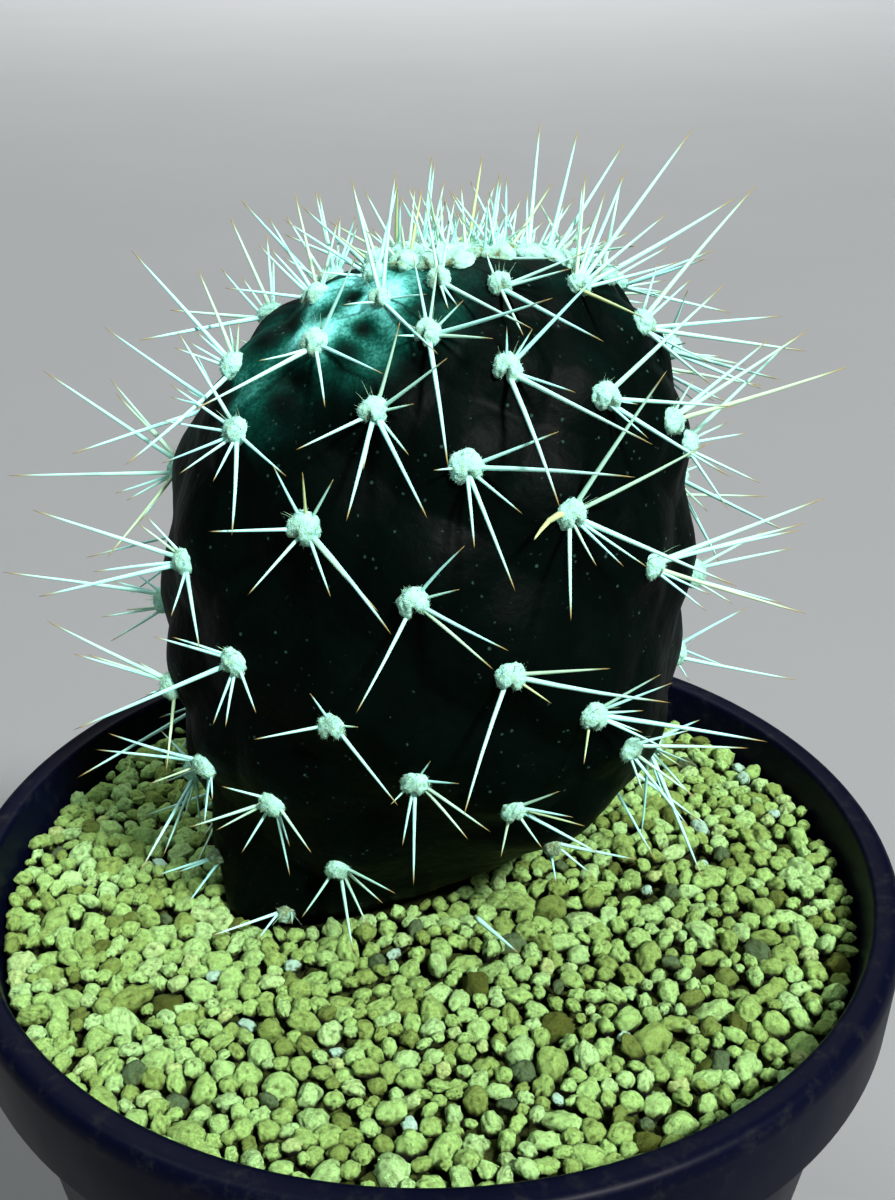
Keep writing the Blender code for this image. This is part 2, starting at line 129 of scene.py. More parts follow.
# The skin's folds, as height and scale, and the dent below each areole. A halo of bloom and painted
# highlight, a streak of painted shade or a dent has its reach as a share of the tubercle's, and how far
# down the flank it lies. A painted shade has its depth first.
FOLDS = ((0.00013, 210), (0.00006, 620))
DENT_DEPTH = 0.00035
DENT_REACH = 0.36
DENT_DROP = 0.0027
HALO = (0.55, -0.0022)
PAINTED_SHADES_BELOW_AREOLES = ((1.0, 0.34, 0.0028), (0.9, 0.38, 0.0052))

# Broad swells and flats of the egg: clock angle as the viewer sees it, 0 up and 90 right, and height
BODY_SWELLS = (
    (0, -0.0053), (30, 0.0022), (60, 0.0007), (90, -0.0010), (120, 0.0020), (150, 0.0037),
    (180, -0.0048), (300, 0.0024), (330, 0.0021),
)
SWELL_REACH = 0.42

# Root
ROOT_TOP_SHARE = 0.9
ROOT_DEPTH = 0.026
ROOT_TOP_RADIUS = 0.006
ROOT_TIP_RADIUS = 0.003
ROOT_SIDES = 32
ROOT_RINGS = 14
ROOT_ROUGHNESS = 0.08
ROOT_LUMPS = 300

# Areoles and their tubercles, as in the CAD
AREOLE_COUNT = 126
CROWN_COUNT = 35
CROWN_ANGLE = 25.6
FLANK_ANGLES = (57.4, 168.6, -101.9)
SPIRAL_START = 186.4
SPIRAL_TURN = 139.19
AREOLE_HEIGHT = 0.0010
AREOLE_LEAST_RISE = 0.0060
SKIN_FADE = 0.0060
TUBERCLE_HEIGHT = 0.0020
VALLEY_DEPTH = 0.0013
TUBERCLE_REACH = 0.0046
CROWN_TUBERCLE_REACH = 0.0022
TUBERCLE_ABOVE_AREOLE = 0.0012
CROWN_TUBERCLE_SHARE = 0.3

# Where the photograph shows the areoles that stand off the spiral, in its pixels, and the places in
# the spiral where it shows none
AREOLE_PIXELS = {
    9: (501, 244), 12: (430, 254), 17: (456, 252), 25: (404, 258), 30: (438, 274), 35: (500, 282),
    38: (372, 270), 40: (580, 283), 43: (379, 296), 48: (427, 331), 50: (646, 322), 51: (313, 292),
    53: (508, 367), 56: (312, 340), 58: (608, 396), 59: (265, 310), 61: (372, 410), 63: (676, 421),
    64: (230, 364), 66: (467, 467), 68: (692, 444), 69: (232, 430), 71: (574, 515), 74: (302, 529),
    76: (657, 567), 77: (175, 467), 79: (413, 604), 81: (700, 575), 82: (180, 562), 84: (512, 679),
    86: (679, 653), 87: (231, 663), 89: (596, 718), 90: (161, 601), 92: (330, 729), 94: (633, 751),
    95: (169, 688), 97: (415, 786), 100: (203, 767), 102: (514, 813), 105: (270, 806), 107: (553, 849),
    110: (337, 871), 113: (215, 857), 118: (285, 918),
}
MISSING_PLACES = (14, 22, 27, 32, 45, 115)
PIXEL_STEP = 0.01
PIXEL_DAMPING = 3600
PIXEL_ROUNDS = 12

# Wool
RIDGE_WOOL_RADIUS = 0.00185
NEW_WOOL_RADIUS = 0.00116
OLD_WOOL_RADIUS = 0.00160
RIDGE_PLACES = 30
OLD_WOOL_FROM = 66
FOOT_PLACES = (107, 113, 118)
FOOT_WOOL_RADIUS = 0.00095
# The foot areoles' wool is darkened all over by painted shade
FOOT_WOOL_PAINTED_SHADE = 0.85
WOOL_LUMPS = ((0.16, 1.7), (0.12, 4.1), (0.07, 8.3))
WOOL_SHIFT = 3.7
CLEFT_STRAY = 0.45
CLEFT_DEPTHS = (0.50, 0.95)
CLEFT_HALF_ANGLE = 0.30
WOOL_AGE_FROM = 1.05
WOOL_AGE_SPAN = 0.9
WOOL_AGE_SHARES = (0.7, 1.0)
WOOL_SEED = 5000
CLEFT_GROWTH = 1.8
# How dark the cushion's lower side is, from brown bits and painted shade; its top, from brown bits; and the
# lower side's spread
BROWN_AND_SHADE_BELOW = 0.8
BROWN_TOP = 0.45
BROWN_AND_SHADE_HALF_ANGLE = 0.9
CUSHION_HEIGHT = 0.00120
CUSHION_WIDTHS = (0.90, 1.08)
CUSHION_HEIGHTS = (0.85, 1.15)
CUSHION_OVALS = (0.88, 1.08)
CUSHION_SINK = 0.0004
HAIRS_A_CUSHION = 150
HAIR_RADIUS = 0.000028
HAIR_LENGTHS = (0.0001, 0.0004)
HAIR_STRAY = 0.5
HAIRS_FROM = -0.15
GLOCHIDS_AN_AREOLE = 7
CROWN_GLOCHIDS = 2
GLOCHID_LENGTHS = (0.0014, 0.0026)
GLOCHID_RADIUS = 0.00005
GLOCHID_STEPS = (0.0, 0.4, 0.8)
GLOCHID_STRAY = 0.7
GLOCHID_PLACES = (0.2, 0.8)
GLOCHID_SLOPES = (0.3, 1.0)

# Spines, the main ones as in the CAD
SPINE_ROOT = 0.0016
SPINE_LIFT = math.radians(32)
SPINE_MOST_LEAN = 0.8
LEAN_STEP = 0.05
SPINE_SPREAD = 0.0007
SPINE_TAPER = 0.5
FLANK_POWER = 1.5
SPINE_FLOOR = GRIT_LEVEL + 0.0016
SPINES_A_CROWN_AREOLE = 2
CROWN_SPINE_LENGTHS = (0.0040, 0.0090)
FLANK_SPINE_LENGTHS = (0.0060, 0.0100)
FLANK_SPINE_CLOCKS = (180, 105, 255)
CLOCK_STRAY = 28
# Lift off the skin in degrees, what the flanks lose of it, and by how much their spines are longer
MAIN_SPINES = ((60, 80), (25, 45), (0.004, 0.011))
LESSER_SPINES = ((48, 80), (20, 45), (0.0, 0.003))
LESSER_SPINE_LENGTHS = (0.003, 0.007)
LESSER_COUNTS = (3, 4, 4, 5)
LESSER_CLOCKS = (180, 75)
LESSER_SPINE_SEED = 1000
SPINE_SEED = 9000
SPINE_TURN_UP = 0.0006
SPINE_GIRTHS = (0.85, 1.15)
SPINE_BOW = 0.008
SPINE_TINT = 0.38
SPINE_SIDES = 8
SPINE_LEAST_RADIUS = 0.00014
SPINE_GIRTH = 0.0080
SPINE_THICKEST_FROM = 0.018
SPINE_STEPS = (0.0, 0.12, 0.35, 0.6, 0.82, 0.94)

# The spines of the areoles that face the viewer: the areole's place, then for each spine its clock
# angle in degrees as the viewer sees it, 0 up and 90 right, and its seen length in millimetres.
FRONT_SPINES = {
    0: ((8, 7.7), (330, 4), (60, 4)),
    1: ((324, 7.7), (33, 8.7), (350, 4)),
    2: ((346, 4.7), (9, 10.4), (30, 4)),
    3: ((335, 8.4), (20, 5)),
    6: ((5, 13.7), (0, 6.4), (25, 4.5)),
    9: ((172, 4.5), (350, 6), (10, 4), (100, 5)),
    11: ((14, 13.7), (32, 14.2), (92, 8), (70, 5), (50, 6)),
    12: ((342, 6), (10, 5)),
    17: ((335, 5), (20, 4), (300, 4)),
    19: ((62, 7), (100, 5)),
    24: ((4, 7.9), (21, 6.8)),
    25: ((10, 7.4), (352, 4), (320, 4.5)),
    29: ((331, 7.6),),
    30: ((126, 10), (10, 8), (350, 7), (150, 3), (165, 3)),
    33: ((342, 7.8), (310, 5)),
    35: ((127, 10.8), (71, 8), (160, 5.5), (80, 6), (340, 3)),
    37: ((11, 10.3), (60, 7), (350, 4)),
    38: ((303, 9.9), (13, 9.1), (345, 7.5), (270, 5)),
    40: ((36, 19), (60, 17.5), (23, 12), (75, 10), (5, 10.8), (17, 9.6), (124, 6.6), (50, 11)),
    43: ((6, 12.2), (346, 11.7), (139, 8), (92, 3.9), (260, 3)),
    46: ((4, 6.4), (18, 6.8), (300, 5), (328, 8.2), (349, 9.1), (347, 9.4), (23, 6.1)),
    48: ((172, 13), (81, 10.6), (349, 6.6), (8, 5.9), (101, 5.5), (48, 3.7), (265, 2.5)),
    50: ((40, 18), (98, 16.3), (85, 13.8), (140, 8.7), (48, 6.6), (17, 6), (123, 7)),
    51: ((329, 9.2), (347, 10.4), (277, 8.6), (14, 7.5), (24, 5), (314, 7.6), (318, 6.5), (128, 3.8)),
    53: ((123, 14), (163, 13.6), (45, 12), (113, 6), (33, 3.6), (0, 3.2)),
    56: ((234, 12), (29, 8), (120, 7.5), (168, 6.6), (251, 5)),
    58: ((47, 15), (124, 13.2), (94, 11.9), (135, 5), (100, 2.6)),
    59: ((336, 11.3), (355, 8.3), (318, 7.1), (250, 12), (275, 10), (0, 6), (325, 5)),
    61: ((154, 11), (191, 10.2), (59, 7.3), (241, 7.3), (18, 7.4), (143, 5), (188, 5.2), (84, 3.2)),
    63: ((73, 18.5), (57, 16.2), (51, 12.6), (30, 4.3)),
    64: ((318, 15.5), (338, 10.3), (290, 6), (219, 13.4), (300, 5), (5, 4), (312, 5), (350, 4)),
    66: ((96, 14), (160, 11.5), (71, 8), (175, 7), (132, 6), (262, 2.4)),
    68: ((46, 15), (115, 8), (152, 7), (65, 4.5), (80, 6)),
    69: ((329, 11), (176, 10), (248, 7.3), (131, 7), (305, 7.5), (279, 6.9), (233, 6.2), (199, 4.9)),
    71: ((114, 16), (33, 14), (63, 13.5), (182, 9.3), (125, 8), (135, 6.2), (154, 4.7), (250, 2)),
    72: ((305, 15.4), (244, 14.7), (334, 6.5), (300, 4), (285, 5)),
    74: ((139, 12.3), (268, 8.3), (220, 7.4), (334, 5.8), (157, 6.4), (34, 4.7), (0, 4.4), (137, 10)),
    76: ((69, 18), (107, 15.6), (75, 15.3), (77, 14.6), (115, 6), (128, 6.5)),
    77: ((269, 19), (304, 18.6), (320, 12.4), (210, 11.4), (317, 10.7), (252, 7.3), (207, 6.7),
         (242, 6.5)),
    79: ((207, 10.7), (117, 9), (130, 8.8), (43, 6.3), (75, 3.8)),
    81: ((62, 9), (78, 11), (105, 10), (120, 5)),
    82: ((288, 16), (257, 15), (264, 9), (163, 8.6), (307, 5.7), (318, 5.5), (189, 5)),
    84: ((99, 14.1), (199, 12.8), (85, 8.5), (124, 4)),
    86: ((101, 14), (61, 9.3), (147, 3)),
    87: ((247, 17), (286, 7.8), (200, 6), (153, 4.9), (290, 6), (188, 5.8)),
    89: ((99, 17), (67, 7.6), (115, 7.6), (190, 4.2), (57, 6.9), (110, 4.7), (86, 4.4)),
    90: ((278, 18.5), (261, 7.3), (238, 7.3), (285, 6.2), (306, 4.5), (265, 4.4)),
    92: ((138, 9), (260, 6.9), (330, 3.3), (90, 2.1)),
    94: ((91, 11.8), (142, 10), (126, 8.2), (75, 6.2), (160, 4.4)),
    95: ((296, 15), (286, 11), (178, 7.8), (288, 9.5), (300, 4.4), (255, 3)),
    97: ((181, 9.8), (123, 8), (138, 7), (191, 6), (89, 3.7), (33, 2.3), (225, 2.7)),
    100: ((276, 11.6), (286, 10.6), (184, 6), (250, 6.5), (168, 3)),
    102: ((118, 9.4), (103, 6.6), (64, 4.4), (192, 4.6), (97, 5.3), (145, 4.5)),
    105: ((252, 8.7), (168, 7.2), (137, 5.7), (212, 5.8), (242, 6.1), (291, 4.6), (160, 4.2)),
    107: ((100, 8.5), (130, 5), (170, 4)),
    110: ((171, 9), (155, 6.6), (214, 6.3), (108, 6), (128, 5.4)),
    113: ((253, 7.5), (208, 6), (250, 5)),
    118: ((234, 8.2), (191, 5.2), (176, 2.6)),
}

# The body's outline in the grit: where the search for it starts, the heights about the grit's level
# that it takes in, and its sectors
FOOT_FROM = 1.9
FOOT_BAND = (-0.0010, 0.0005)
FOOT_SECTORS = 72
FOOT_ROWS = 500
FOOT_COLUMNS = 720

# Grains: how many, mean radius, icosphere subdivisions, how far the tops stay under the level, seed and
# pieces. Their kinds are clay, white and grey-green, and their tint has a mean and a spread.
TOP_GRAINS = (1460, 0.00116, 3, 0.0, 11, 3)
LOW_GRAINS = (900, 0.00140, 2, 0.0017, 12, 1)
GRAIN_SPREAD = 0.24
GRAIN_RADII = (0.0007, 0.0021)
GRAIN_SINK = 0.75
GRAIN_UNEVEN = 0.00028
GRAIN_ROUNDS = 70
GRAIN_SPACING = 1.01
GRAIN_PUSH = 0.35
GRAIN_TO_BODY = 0.85
GRAIN_TO_WALL = 0.95
TINY = 1e-9
GRAIN_KIND_SHARES = (0.985, 0.003, 0.012)
GRAIN_TINT = (0.52, 0.20)
GRAIN_STRETCH = ((0.84, 0.76, 0.66), (1.40, 1.10, 0.94))
GRAIN_FLATTENING = (1, 1, 0.85)
GRAIN_LUMPS = ((0.17, 2.3), (0.13, 4.9))
GRAIN_SHIFT = 9.1
# Painted shade in the grains' crevices from their crumb noise: offset and gain
GRAIN_PAINTED_SHADE = (0.74, 3.2)
GRAIN_SHAPES = 36
GRAIN_SHAPE_SEED = 7
GRAIN_SIDES = 9
GRAIN_SIDE_DEPTHS = (0.60, 0.98)
GRAIN_EDGE = 13
GRAIN_SWELL = 1.10
# Painted shade low on each grain: heights in shares of its radius, from dark to lit
GRAIN_SHADE = (-0.50, 0.50)
# Painted shade on the lower layer's grains: how fast their tint drops with depth, and the share of light
# they keep
LOW_GRAIN_DARKENING = 240
LOW_GRAIN_PAINTED_SHADE = 0.30
MARKED_GRAIN_RADIUS = 0.0009
LARGE_GRAIN_GROWTH = 1.25
WHITE_GRAIN_SPOTS = (
    (-0.0151, -0.0153), (0.0399, 0.0241), (0.0434, 0.0130), (0.0321, 0.0052), (0.0206, -0.0259),
    (0.0124, -0.0355), (-0.0187, -0.0229), (-0.0233, -0.0158), (0.0261, -0.0027), (-0.0099, -0.0273),
    (-0.0317, 0.0032), (-0.0028, -0.0123),
)
GREEN_GRAIN_SPOTS = ((0.0224, -0.0381), (0.0145, -0.0190), (-0.0306, -0.0072), (0.0066, -0.0355))
LARGE_GRAIN_SPOTS = (
    (-0.0225, -0.0393), (0.0262, -0.0299), (0.0152, -0.0418), (0.0050, -0.0418), (0.0093, -0.0287),
)
DROPPED_SPINE = ((0.0051, -0.0095, GRIT_LEVEL + 0.0015), (0.0097, -0.0155, GRIT_LEVEL + 0.0013))
DROPPED_GIRTH = 1.6

# The dried bract at one areole
BRACT_PLACE = 71
BRACT_CLOCK = 236
BRACT_LENGTH = 0.0046
BRACT_RADIUS = 0.00042
BRACT_BOW = 0.0009
BRACT_SHADE = 0.7

# Floor, world, and the area lights: name, place, aim, size, power, colour and spread in degrees
FLOOR_REACH = 6.0
WORLD_COLOUR = (0.80, 0.83, 0.84)
WORLD_STRENGTH = 0.11
LIGHT_AIM = (0, 0, 0.11)
LIGHTS = (
    ("key", (0.80, -0.92, 1.40), LIGHT_AIM, 0.30, 82.0, (1.0, 1.0, 0.98), 180),
    ("fill", (-0.40, -1.40, 0.90), LIGHT_AIM, 0.90, 3.0, (0.96, 0.99, 1.0), 180),
    ("side", (-0.60, 0.10, 1.60), LIGHT_AIM, 0.50, 10.0, (0.93, 1.0, 1.0), 180),
    ("floor_wash", (0, 2.8, 2.4), (0, 2.9, 0), 3.0, 130.0, (1.0, 1.0, 1.0), 110),
)


# Meshes from arrays

def triangle_object(name, points, triangles, material, layers=None):
    """An object from arrays of points and of point numbers, three a triangle. layers holds named
    arrays of one number a point, which the material reads."""
    mesh = bpy.data.meshes.new(name)
    mesh.vertices.add(len(points))
    mesh.vertices.foreach_set("co", np.asarray(points, dtype=np.float32).ravel())
    mesh.loops.add(3 * len(triangles))
    mesh.loops.foreach_set("vertex_index", np.asarray(triangles, dtype=np.int32).ravel())
    mesh.polygons.add(len(triangles))
    mesh.polygons.foreach_set("loop_start", np.arange(0, 3 * len(triangles), 3, dtype=np.int32))
    mesh.update(calc_edges=True)
    mesh.validate()
    mesh.shade_smooth()
    for title, values in (layers or {}).items():
        layer = mesh.attributes.new(title, "FLOAT", "POINT")
        layer.data.foreach_set("value", np.asarray(values, dtype=np.float32))
    mesh.materials.append(material)
    made = bpy.data.objects.new(name, mesh)
    bpy.context.scene.collection.objects.link(made)
    return made


class Heap:
    """Collects many small meshes, with their layers, into one object."""

    def __init__(self):
        self.points = []
        self.triangles = []
        self.layers = {}
        self.count = 0

    def add(self, points, triangles, **layers):
        self.points.append(points)
        self.triangles.append(np.asarray(triangles) + self.count)
        for title, values in layers.items():
            self.layers.setdefault(title, []).append(np.broadcast_to(values, len(points)))
        self.count += len(points)

    def build(self, name, material):
        layers = {title: np.concatenate(parts) for title, parts in self.layers.items()}
        points = np.concatenate(self.points)
        return triangle_object(name, points, np.concatenate(self.triangles), material, layers)


def icosphere(subdivisions):
    """Points and triangles of a unit icosphere."""
    bm = bmesh.new()
    bmesh.ops.create_icosphere(bm, subdivisions=subdivisions, radius=1)
    points = np.array([vert.co for vert in bm.verts])
    triangles = np.array([[vert.index for vert in face.verts] for face in bm.faces])
    bm.free()
    return points, triangles


def tube_triangles(rings, sides):
    """Triangles of a tube of rings, closed by one point before the first ring and one after the last."""
    first = np.arange(sides)
    after = (first + 1) % sides
    found = [np.stack([np.full(sides, rings * sides), after, first], 1)]
    for ring in range(rings - 1):
        low = ring * sides
        high = low + sides
        found.append(np.stack([low + first, low + after, high + after], 1))
        found.append(np.stack([low + first, high + after, high + first], 1))
    last = (rings - 1) * sides
    found.append(np.stack([last + first, last + after, np.full(sides, rings * sides + 1)], 1))
    return np.concatenate(found)


def bristle(start, tip, radius, sides, steps, taper=0.75, bow=None):
    """Points of a tapered bristle, and how far along it each is. bow is the sideways vector by which
    its middle stands off the straight line."""
    along = tip - start
    side = along.orthogonal().normalized()
    other = along.normalized().cross(side)
    bow = bow or Vector((0, 0, 0))
    points = []
    shares = []
    for step in steps:
        middle = start + along * step + bow * math.sin(math.pi * step)
        width = radius * (1 - step) ** taper
        for corner in range(sides):
            turn = math.tau * corner / sides
            points.append(middle + width * (side * math.cos(turn) + other * math.sin(turn)))
            shares.append(step)
    points.append(start)
    points.append(tip)
    shares += [0.0, 1.0]
    return np.array(points), np.array(shares)


def smooth_step(low, high, values):
    share = np.clip((values - low) / (high - low), 0, 1)
    return share * share * (3 - 2 * share)


# Shader nodes

class Finish:
    """A material and short ways to add nodes to it. Values given to a node are sockets or numbers."""

    def __init__(self, name, roughness):
        self.material = bpy.data.materials.new(name)
        self.material.use_nodes = True
        self.tree = self.material.node_tree
        self.shader = self.tree.nodes["Principled BSDF"]
        self.shader.inputs["Roughness"].default_value = roughness
        self.place = self.add("ShaderNodeTexCoord").outputs["Object"]

    def feed(self, socket, value):
        if isinstance(value, bpy.types.NodeSocket):
            self.tree.links.new(value, socket)
        else:
            socket.default_value = value

    def add(self, kind, inputs=None, **settings):
        node = self.tree.nodes.new(kind)
        for title, value in settings.items():
            setattr(node, title, value)
        for title, value in (inputs or {}).items():
            self.feed(node.inputs[title], value)
        return node

    def layer(self, title):
        return self.add("ShaderNodeAttribute", attribute_name=title).outputs["Fac"]

    def noise(self, scale, detail=3, roughness=0.55, vector=None):
        inputs = {"Vector": vector or self.place, "Scale": scale, "Detail": detail, "Roughness": roughness}
        return self.add("ShaderNodeTexNoise", inputs).outputs["Fac"]

    def stretched(self, scale):
        return self.add("ShaderNodeMapping", {"Vector": self.place, "Scale": scale}).outputs["Vector"]

    def between(self, value, low, high):
        """0 up to low, 1 from high, smooth between them."""
        inputs = {"Value": value, "From Min": low, "From Max": high}
        node = self.add("ShaderNodeMapRange", inputs, interpolation_type="SMOOTHSTEP")
        return node.outputs["Result"]

    def math(self, operation, first, second):
        node = self.add("ShaderNodeMath", operation=operation)
        self.feed(node.inputs[0], first)
        self.feed(node.inputs[1], second)
        return node.outputs["Value"]

    def times(self, first, second):
        return self.math("MULTIPLY", first, second)

    def scaled(self, value, factor, offset):
        return self.math("ADD", self.times(value, factor), offset)

    def mix(self, share, first, second):
        """A colour between two colours, which are sockets or triples."""
        node = self.add("ShaderNodeMix", data_type="RGBA")
        self.feed(node.inputs["Factor"], share)
        for socket, value in ((node.inputs[6], first), (node.inputs[7], second)):
            self.feed(socket, (*value, 1) if isinstance(value, tuple) else value)
        return node.outputs[2]

    def mottled(self, scale, detail, first, second):
        """A colour that wanders between two others."""
        return self.mix(self.noise(scale, detail), first, second)

    def ramp(self, value, stops):
        """A colour from a list of (position, colour triple)."""
        node = self.add("ShaderNodeValToRGB", {"Fac": value})
        elements = node.color_ramp.elements
        while len(elements) < len(stops):
            elements.new(0.5)
        for element, (position, colour) in zip(elements, stops):
            element.position = position
            element.color = (*colour, 1)
        return node.outputs["Color"]

    def colour(self, value):
        self.feed(self.shader.inputs["Base Color"], value)

    def bump(self, *layers):
        """Bumps from (height, strength, distance) layers, coarse first."""
        normal = None
        for height, strength, distance in layers:
            inputs = {"Height": height, "Strength": strength, "Distance": distance}
            if normal:
                inputs["Normal"] = normal
            normal = self.add("ShaderNodeBump", inputs).outputs["Normal"]
        self.feed(self.shader.inputs["Normal"], normal)

    def set(self, **values):
        """Sets the shader's own sockets and returns the material."""
        for title, value in values.items():
            self.feed(self.shader.inputs[title.replace("_", " ")], value)
        return self.material


def skin_finish():
    """Near-black green skin with pale patches from the bloom layer: waxy bloom mixed with painted highlight
    on the lit crown and tubercle tops, and a little round the areoles.
    """
    finish = Finish("waxy cactus skin", 0.5)
    bloom_and_light = finish.layer("bloom_and_light")
    clouds = finish.between(finish.noise(190, 5, 0.6), 0.34, 0.64)
    powder = finish.between(finish.noise(3000, 3), 0.30, 0.70)
    cover = finish.times(bloom_and_light, finish.scaled(clouds, 0.50, 0.50))
    cover = finish.times(cover, finish.scaled(powder, 0.35, 0.65))
    green = finish.mottled(330, 4, (0.0001, 0.0006, 0.0004), (0.0003, 0.0022, 0.0016))
    thin = finish.mix(finish.between(cover, 0.0, 0.24), green, (0.004, 0.085, 0.060))
    # The pale teal is waxy bloom, and where the layer is thick it is also a painted highlight
    colour = finish.mix(finish.between(cover, 0.10, 0.62), thin, (0.220, 0.800, 0.740))
    cells = finish.add("ShaderNodeTexVoronoi", {"Vector": finish.place, "Scale": 1050})
    pores = cells.outputs["Distance"]
    fleck = finish.between(pores, 0.24, 0.10)
    rare = finish.between(finish.noise(700, 2), 0.56, 0.64)
    fleck = finish.times(finish.times(fleck, rare), 0.22)
    colour = finish.mix(fleck, colour, (0.08, 0.19, 0.17))
    scar = finish.between(finish.noise(420, 8, 0.72), 0.675, 0.73)
    colour = finish.mix(finish.times(scar, 0.22), colour, (0.07, 0.13, 0.10))
    finish.colour(colour)
    dull = finish.scaled(cover, 0.20, 0.50)
    finish.bump(
        (finish.noise(520, 4), 0.35, 0.0005),
        (pores, 0.18, 0.0001),
        (finish.noise(5200, 2), 0.12, 0.00006),
    )
    return finish.set(Roughness=dull, Specular_IOR_Level=0.02)


def wool_finish():
    """Pale wool, browner in the cleft that the spines leave and on the lower side, from brown bits and
    painted shade, and greener low on the plant.
    """
    finish = Finish("areole wool", 0.95)
    cream = finish.mottled(1500, 4, (0.28, 0.64, 0.51), (0.36, 0.77, 0.71))
    cream = finish.mix(finish.times(finish.layer("age"), 0.30), cream, (0.24, 0.46, 0.28))
    crumbs = finish.between(finish.noise(2600, 4, 0.7), 0.36, 0.54)
    cream = finish.mix(crumbs, finish.mix(0.45, cream, (0.30, 0.50, 0.18)), cream)
    spots = finish.between(finish.noise(2100, 3), 0.32, 0.54)
    spots = finish.scaled(spots, 0.55, 0.45)
    # Brown bits and painted shade in the cleft and on the lower side, and painted shade over the foot
    # areoles
    brown_and_shade = finish.times(spots, finish.layer("cleft"))
    finish.colour(finish.mix(brown_and_shade, cream, (0.105, 0.110, 0.018)))
    finish.bump((finish.noise(1900, 4, 0.7), 0.9, 0.00035), (finish.noise(4800, 3, 0.7), 0.8, 0.00015))
    return finish.set(Specular_IOR_Level=0.10, Sheen_Weight=0.12, Sheen_Roughness=0.4)


def hair_finish():
    finish = Finish("wool hairs", 0.8)
    finish.colour(finish.mix(finish.layer("age"), (0.34, 0.72, 0.61), (0.26, 0.46, 0.29)))
    return finish.set(Specular_IOR_Level=0.2)


def spine_finish():
    """Ivory spines with tan to brown tips; some are tan all along."""
    finish = Finish("spines", 0.38)
    along = finish.layer("along")
    tint = finish.layer("tint")
    ivory = finish.mottled(900, 3, (0.28, 0.70, 0.66), (0.38, 0.82, 0.78))
    aged = finish.mottled(600, 3, (0.30, 0.38, 0.13), (0.44, 0.60, 0.32))
    shaft = finish.mix(tint, ivory, aged)
    shaft = finish.mix(finish.between(along, 0.12, 0.0), shaft, (0.40, 0.60, 0.34))
    finish.colour(finish.mix(finish.between(along, 0.78, 0.96), shaft, (0.22, 0.17, 0.05)))
    finish.bump((finish.noise(1, 3, 0.6, finish.stretched((3500, 3500, 900))), 0.15, 0.00005))
    return finish.set(Specular_IOR_Level=0.25)


def grain_finish():
    """Crumbly baked clay, with a few white pumice and grey-green stones, darkened by painted shade in
    crevices and under each grain.
    """
    finish = Finish("clay grains", 0.93)
    tint = finish.layer("tint")
    clay = finish.ramp(tint, [
        (0.00, (0.085, 0.120, 0.018)), (0.22, (0.300, 0.480, 0.115)), (0.55, (0.450, 0.790, 0.240)),
        (0.80, (0.530, 0.920, 0.370)), (1.00, (0.580, 0.800, 0.290))])
    mottle = finish.between(finish.noise(1500, 7, 0.75), 0.38, 0.60)
    clay = finish.mix(mottle, finish.mix(0.38, clay, (0.130, 0.145, 0.014)), clay)
    white = finish.mottled(900, 3, (0.42, 0.70, 0.50), (0.54, 0.90, 0.70))
    green = finish.mottled(1500, 3, (0.06, 0.110, 0.045), (0.14, 0.230, 0.100))
    kind = finish.layer("kind")
    colour = finish.mix(finish.between(kind, 0.4, 0.6), clay, white)
    colour = finish.mix(finish.between(kind, 1.4, 1.6), colour, green)
    painted_shading = finish.layer("painted_shading")
    # Painted shade in crevices and under the grains, near black at the deepest
    colour = finish.mix(finish.between(painted_shading, 0.72, 0.14), colour, (0.050, 0.072, 0.005))
    colour = finish.mix(finish.between(painted_shading, 0.32, 0.02), colour, (0.002, 0.004, 0.001))
    finish.colour(colour)
    finish.bump((finish.noise(1300, 6, 0.75), 1.0, 0.0020), (finish.noise(4200, 3, 0.7), 0.8, 0.0005))
    return finish.set(Specular_IOR_Level=0.2)


def bed_finish():
    """The bed that shows between the grains, near black as painted shade."""
    finish = Finish("deep grit", 1.0)
    finish.colour(finish.mottled(900, 4, (0.003, 0.004, 0.001), (0.020, 0.026, 0.005)))
    finish.bump((finish.noise(700, 5, 0.7), 1.0, 0.0008))
    return finish.set(Specular_IOR_Level=0.1)


def pot_finish():
    """Black moulded plastic, faintly blue, with fine scuffs, and dust from the grit near the rim."""
    finish = Finish("black pot plastic", 0.4)
    height = finish.add("ShaderNodeSeparateXYZ", {"Vector": finish.place}).outputs["Z"]
    grain = finish.noise(2600, 3)
    plastic = finish.mottled(60, 3, (0.0005, 0.0009, 0.0045), (0.0010, 0.0016, 0.0080))
    scuffs = finish.noise(1, 4, 0.65, finish.stretched((90, 90, 2200)))
    scuffs = finish.between(scuffs, 0.60, 0.78)
    plastic = finish.mix(finish.times(scuffs, 0.05), plastic, (0.03, 0.035, 0.060))
    near_rim = finish.between(height, POT_HEIGHT - 0.0085, POT_HEIGHT - 0.0015)
    settled = finish.between(finish.noise(420, 6, 0.7), 0.50, 0.74)
    dust = finish.times(finish.times(near_rim, settled), 0.03)
    foot = finish.times(finish.between(height, 0.010, 0.0), settled)
    dust = finish.math("MAXIMUM", dust, finish.times(foot, 0.18))
    finish.colour(finish.mix(dust, plastic, (0.20, 0.22, 0.12)))
    rough = finish.scaled(finish.noise(140, 4), 0.16, 0.34)
    rough = finish.math("ADD", rough, finish.times(dust, 0.8))
    finish.bump((finish.noise(45, 2), 0.06, 0.0006), (grain, 0.10, 0.00005), (scuffs, 0.08, 0.00003))
    return finish.set(Roughness=rough, Specular_IOR_Level=0.04)


def floor_finish():
    finish = Finish("pale floor", 0.85)
    finish.colour(finish.mottled(6, 3, (0.165, 0.172, 0.175), (0.180, 0.188, 0.190)))
    return finish.set(Specular_IOR_Level=0.2)


# The body's shape

def unit_length(vectors):
    return vectors / np.linalg.norm(vectors, axis=-1, keepdims=True)


